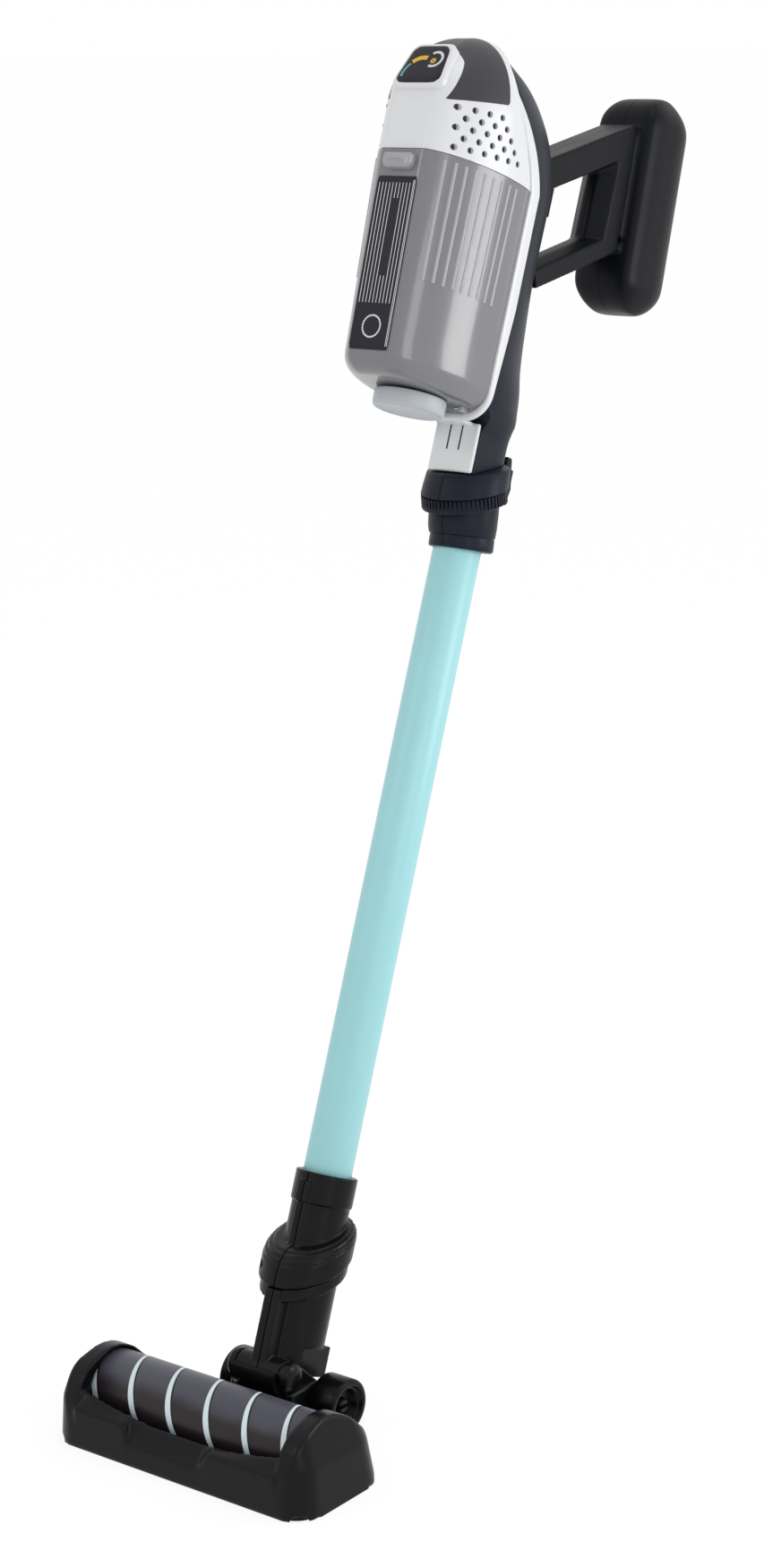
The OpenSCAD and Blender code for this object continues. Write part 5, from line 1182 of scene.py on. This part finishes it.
class ToyVacuumColours(bpy.types.PropertyGroup):
    """Colours of the toy's plastics and prints"""
    black: colour("Black", "Floor head and neck", "#0b0c0f")
    wheel: colour("Wheels", "Rear wheels", "#09090b")
    slate: colour("Slate", "Cuff and rear casing", "#1c212c")
    charcoal: colour("Charcoal", "Handle", "#0a0c12")
    white: colour("White", "Casing, band and neck plate", "#e3e4e6")
    turquoise: colour("Turquoise", "Tube", "#a3dde2")
    smoke: colour("Smoke", "Dust cup", "#838386")
    # Paler smoke: painted sheen on the cup's ribs, also the colour of the latch and knuckles
    pale_smoke_and_sheen: colour("Smoke rib", "Ribs and latch of the dust cup", "#a2a2a6")
    pale: colour("Pale grey", "Cap under the cup and roller bushes", "#bcc1c6")
    panel: colour("Panel", "Shoulder inlay", "#3a3a40")
    film: colour("Display", "Display film", "#17111f")
    label: colour("Label", "Label on the cup", "#211d28")
    white_ink: colour("White ink", "Printed lines", "#e8e8ec")
    yellow_ink: colour("Yellow ink", "Gauge arc and pointer", "#ebbe1e")
    teal_ink: colour("Teal ink", "Gauge arc", "#5fb9c4")
    # Painted shade inside the holes and slits
    slit: colour("Slit", "Inside of holes and narrow slits", "#18181a")
    roller: colour("Roller", "Ground of the roller's print at its top", "#4a4a56")
    # Painted shade: the ground's darker tone towards the front
    roller_painted_shade: colour("Roller front", "Ground of the roller's print at its front", "#241d21")
    stripe: colour("Stripe", "Stripes of the roller's print", "#dcebf0")
    steel: colour("Steel", "Screws, pins and spring", "#b5b7ba")


class ToyVacuumSizes(bpy.types.PropertyGroup):
    """Sizes of the printed and repeated details"""
    stripe_pitch: length("Stripe pitch", "Distance between the roller's stripes", 25.6)
    stripe_width: length("Stripe width", "Width of a stripe", 3.0)
    stripe_winding: length("Stripe winding", "Way along the roller for each radian round it", 6.6)
    stripe_start: length("Stripe start", "Place of one stripe at the roller's top", 2.4)
    rib_count: bpy.props.IntProperty(
        name="Cup ribs", description="Ribs on each side of the dust cup", default=9, min=2, max=16)
    rib_pitch: length("Rib pitch", "Distance between the cup's ribs", 5.9)


class TOYVAC_OT_floor_head(bpy.types.Operator):
    """Make the moulded shell of the floor head"""
    bl_idname = "toy_vacuum.floor_head"
    bl_label = "Floor head"

    def execute(self, context):
        make_head_shell()
        return {"FINISHED"}


class TOYVAC_OT_roller(bpy.types.Operator):
    """Make the roller's printed sleeve"""
    bl_idname = "toy_vacuum.roller"
    bl_label = "Roller"

    def execute(self, context):
        make_roller()
        return {"FINISHED"}


class TOYVAC_OT_wheels(bpy.types.Operator):
    """Make the rear wheels and their bracket"""
    bl_idname = "toy_vacuum.wheels"
    bl_label = "Wheels"

    def execute(self, context):
        make_wheels()
        return {"FINISHED"}


class TOYVAC_OT_neck(bpy.types.Operator):
    """Make the halves of the jointed neck"""
    bl_idname = "toy_vacuum.neck"
    bl_label = "Neck"

    def execute(self, context):
        make_neck()
        return {"FINISHED"}


class TOYVAC_OT_tube(bpy.types.Operator):
    """Make the tube"""
    bl_idname = "toy_vacuum.tube"
    bl_label = "Tube"

    def execute(self, context):
        make_tube()
        return {"FINISHED"}


class TOYVAC_OT_cuff(bpy.types.Operator):
    """Make the cuff and its release button"""
    bl_idname = "toy_vacuum.cuff"
    bl_label = "Cuff"

    def execute(self, context):
        make_cuff()
        return {"FINISHED"}


class TOYVAC_OT_casing(bpy.types.Operator):
    """Make the white casing with its band and neck plate"""
    bl_idname = "toy_vacuum.casing"
    bl_label = "White casing"

    def execute(self, context):
        make_casing()
        return {"FINISHED"}


class TOYVAC_OT_panel(bpy.types.Operator):
    """Make the shoulder inlay"""
    bl_idname = "toy_vacuum.panel"
    bl_label = "Shoulder inlay"

    def execute(self, context):
        make_panel()
        return {"FINISHED"}


class TOYVAC_OT_display(bpy.types.Operator):
    """Make the display and its gauge"""
    bl_idname = "toy_vacuum.display"
    bl_label = "Display"

    def execute(self, context):
        make_display()
        return {"FINISHED"}


class TOYVAC_OT_rear_casing(bpy.types.Operator):
    """Make the halves of the rear casing"""
    bl_idname = "toy_vacuum.rear_casing"
    bl_label = "Rear casing"

    def execute(self, context):
        make_rear_casing()
        return {"FINISHED"}


class TOYVAC_OT_handle(bpy.types.Operator):
    """Make the handle loop, its battery end and the trigger"""
    bl_idname = "toy_vacuum.handle"
    bl_label = "Handle"

    def execute(self, context):
        make_handle()
        return {"FINISHED"}


class TOYVAC_OT_cup(bpy.types.Operator):
    """Make the dust cup with its ribs, label, cap and latch"""
    bl_idname = "toy_vacuum.cup"
    bl_label = "Dust cup"

    def execute(self, context):
        make_cup()
        return {"FINISHED"}


class TOYVAC_OT_fittings(bpy.types.Operator):
    """Finish the pieces that keep their solid shape"""
    bl_idname = "toy_vacuum.fittings"
    bl_label = "Fittings"

    def execute(self, context):
        make_fittings()
        return {"FINISHED"}


class TOYVAC_OT_stage(bpy.types.Operator):
    """Set up the floor, the light and the camera"""
    bl_idname = "toy_vacuum.stage"
    bl_label = "Stage"

    def execute(self, context):
        make_stage()
        return {"FINISHED"}


PIECE_OPERATORS = (
    TOYVAC_OT_floor_head, TOYVAC_OT_roller, TOYVAC_OT_wheels, TOYVAC_OT_neck, TOYVAC_OT_tube, TOYVAC_OT_cuff,
    TOYVAC_OT_casing, TOYVAC_OT_panel, TOYVAC_OT_display, TOYVAC_OT_rear_casing, TOYVAC_OT_handle, TOYVAC_OT_cup,
    TOYVAC_OT_fittings, TOYVAC_OT_stage,
)


class TOYVAC_PT_sidebar(bpy.types.Panel):
    """Lists the toy's pieces and settings"""
    bl_idname = "TOYVAC_PT_sidebar"
    bl_label = "Toy Vacuum"
    bl_space_type = "VIEW_3D"
    bl_region_type = "UI"
    bl_category = "Toy Vacuum"

    def draw(self, context):
        column = self.layout.column()
        for operator in PIECE_OPERATORS:
            column.operator(operator.bl_idname)
        for group in (context.scene.toy_vacuum_colours, context.scene.toy_vacuum_sizes):
            for key in group.bl_rna.properties.keys():
                if key not in ("rna_type", "name"):
                    column.prop(group, key)


CLASSES = (ToyVacuumColours, ToyVacuumSizes) + PIECE_OPERATORS + (TOYVAC_PT_sidebar,)


def register():
    for item in CLASSES:
        bpy.utils.register_class(item)
    bpy.types.Scene.toy_vacuum_colours = bpy.props.PointerProperty(type=ToyVacuumColours)
    bpy.types.Scene.toy_vacuum_sizes = bpy.props.PointerProperty(type=ToyVacuumSizes)


def unregister():
    del bpy.types.Scene.toy_vacuum_sizes
    del bpy.types.Scene.toy_vacuum_colours
    for item in reversed(CLASSES):
        bpy.utils.unregister_class(item)


def main():
    register()
    for operator in PIECE_OPERATORS:
        group, name = operator.bl_idname.split(".")
        getattr(getattr(bpy.ops, group), name)()


if __name__ == "__main__":
    main()
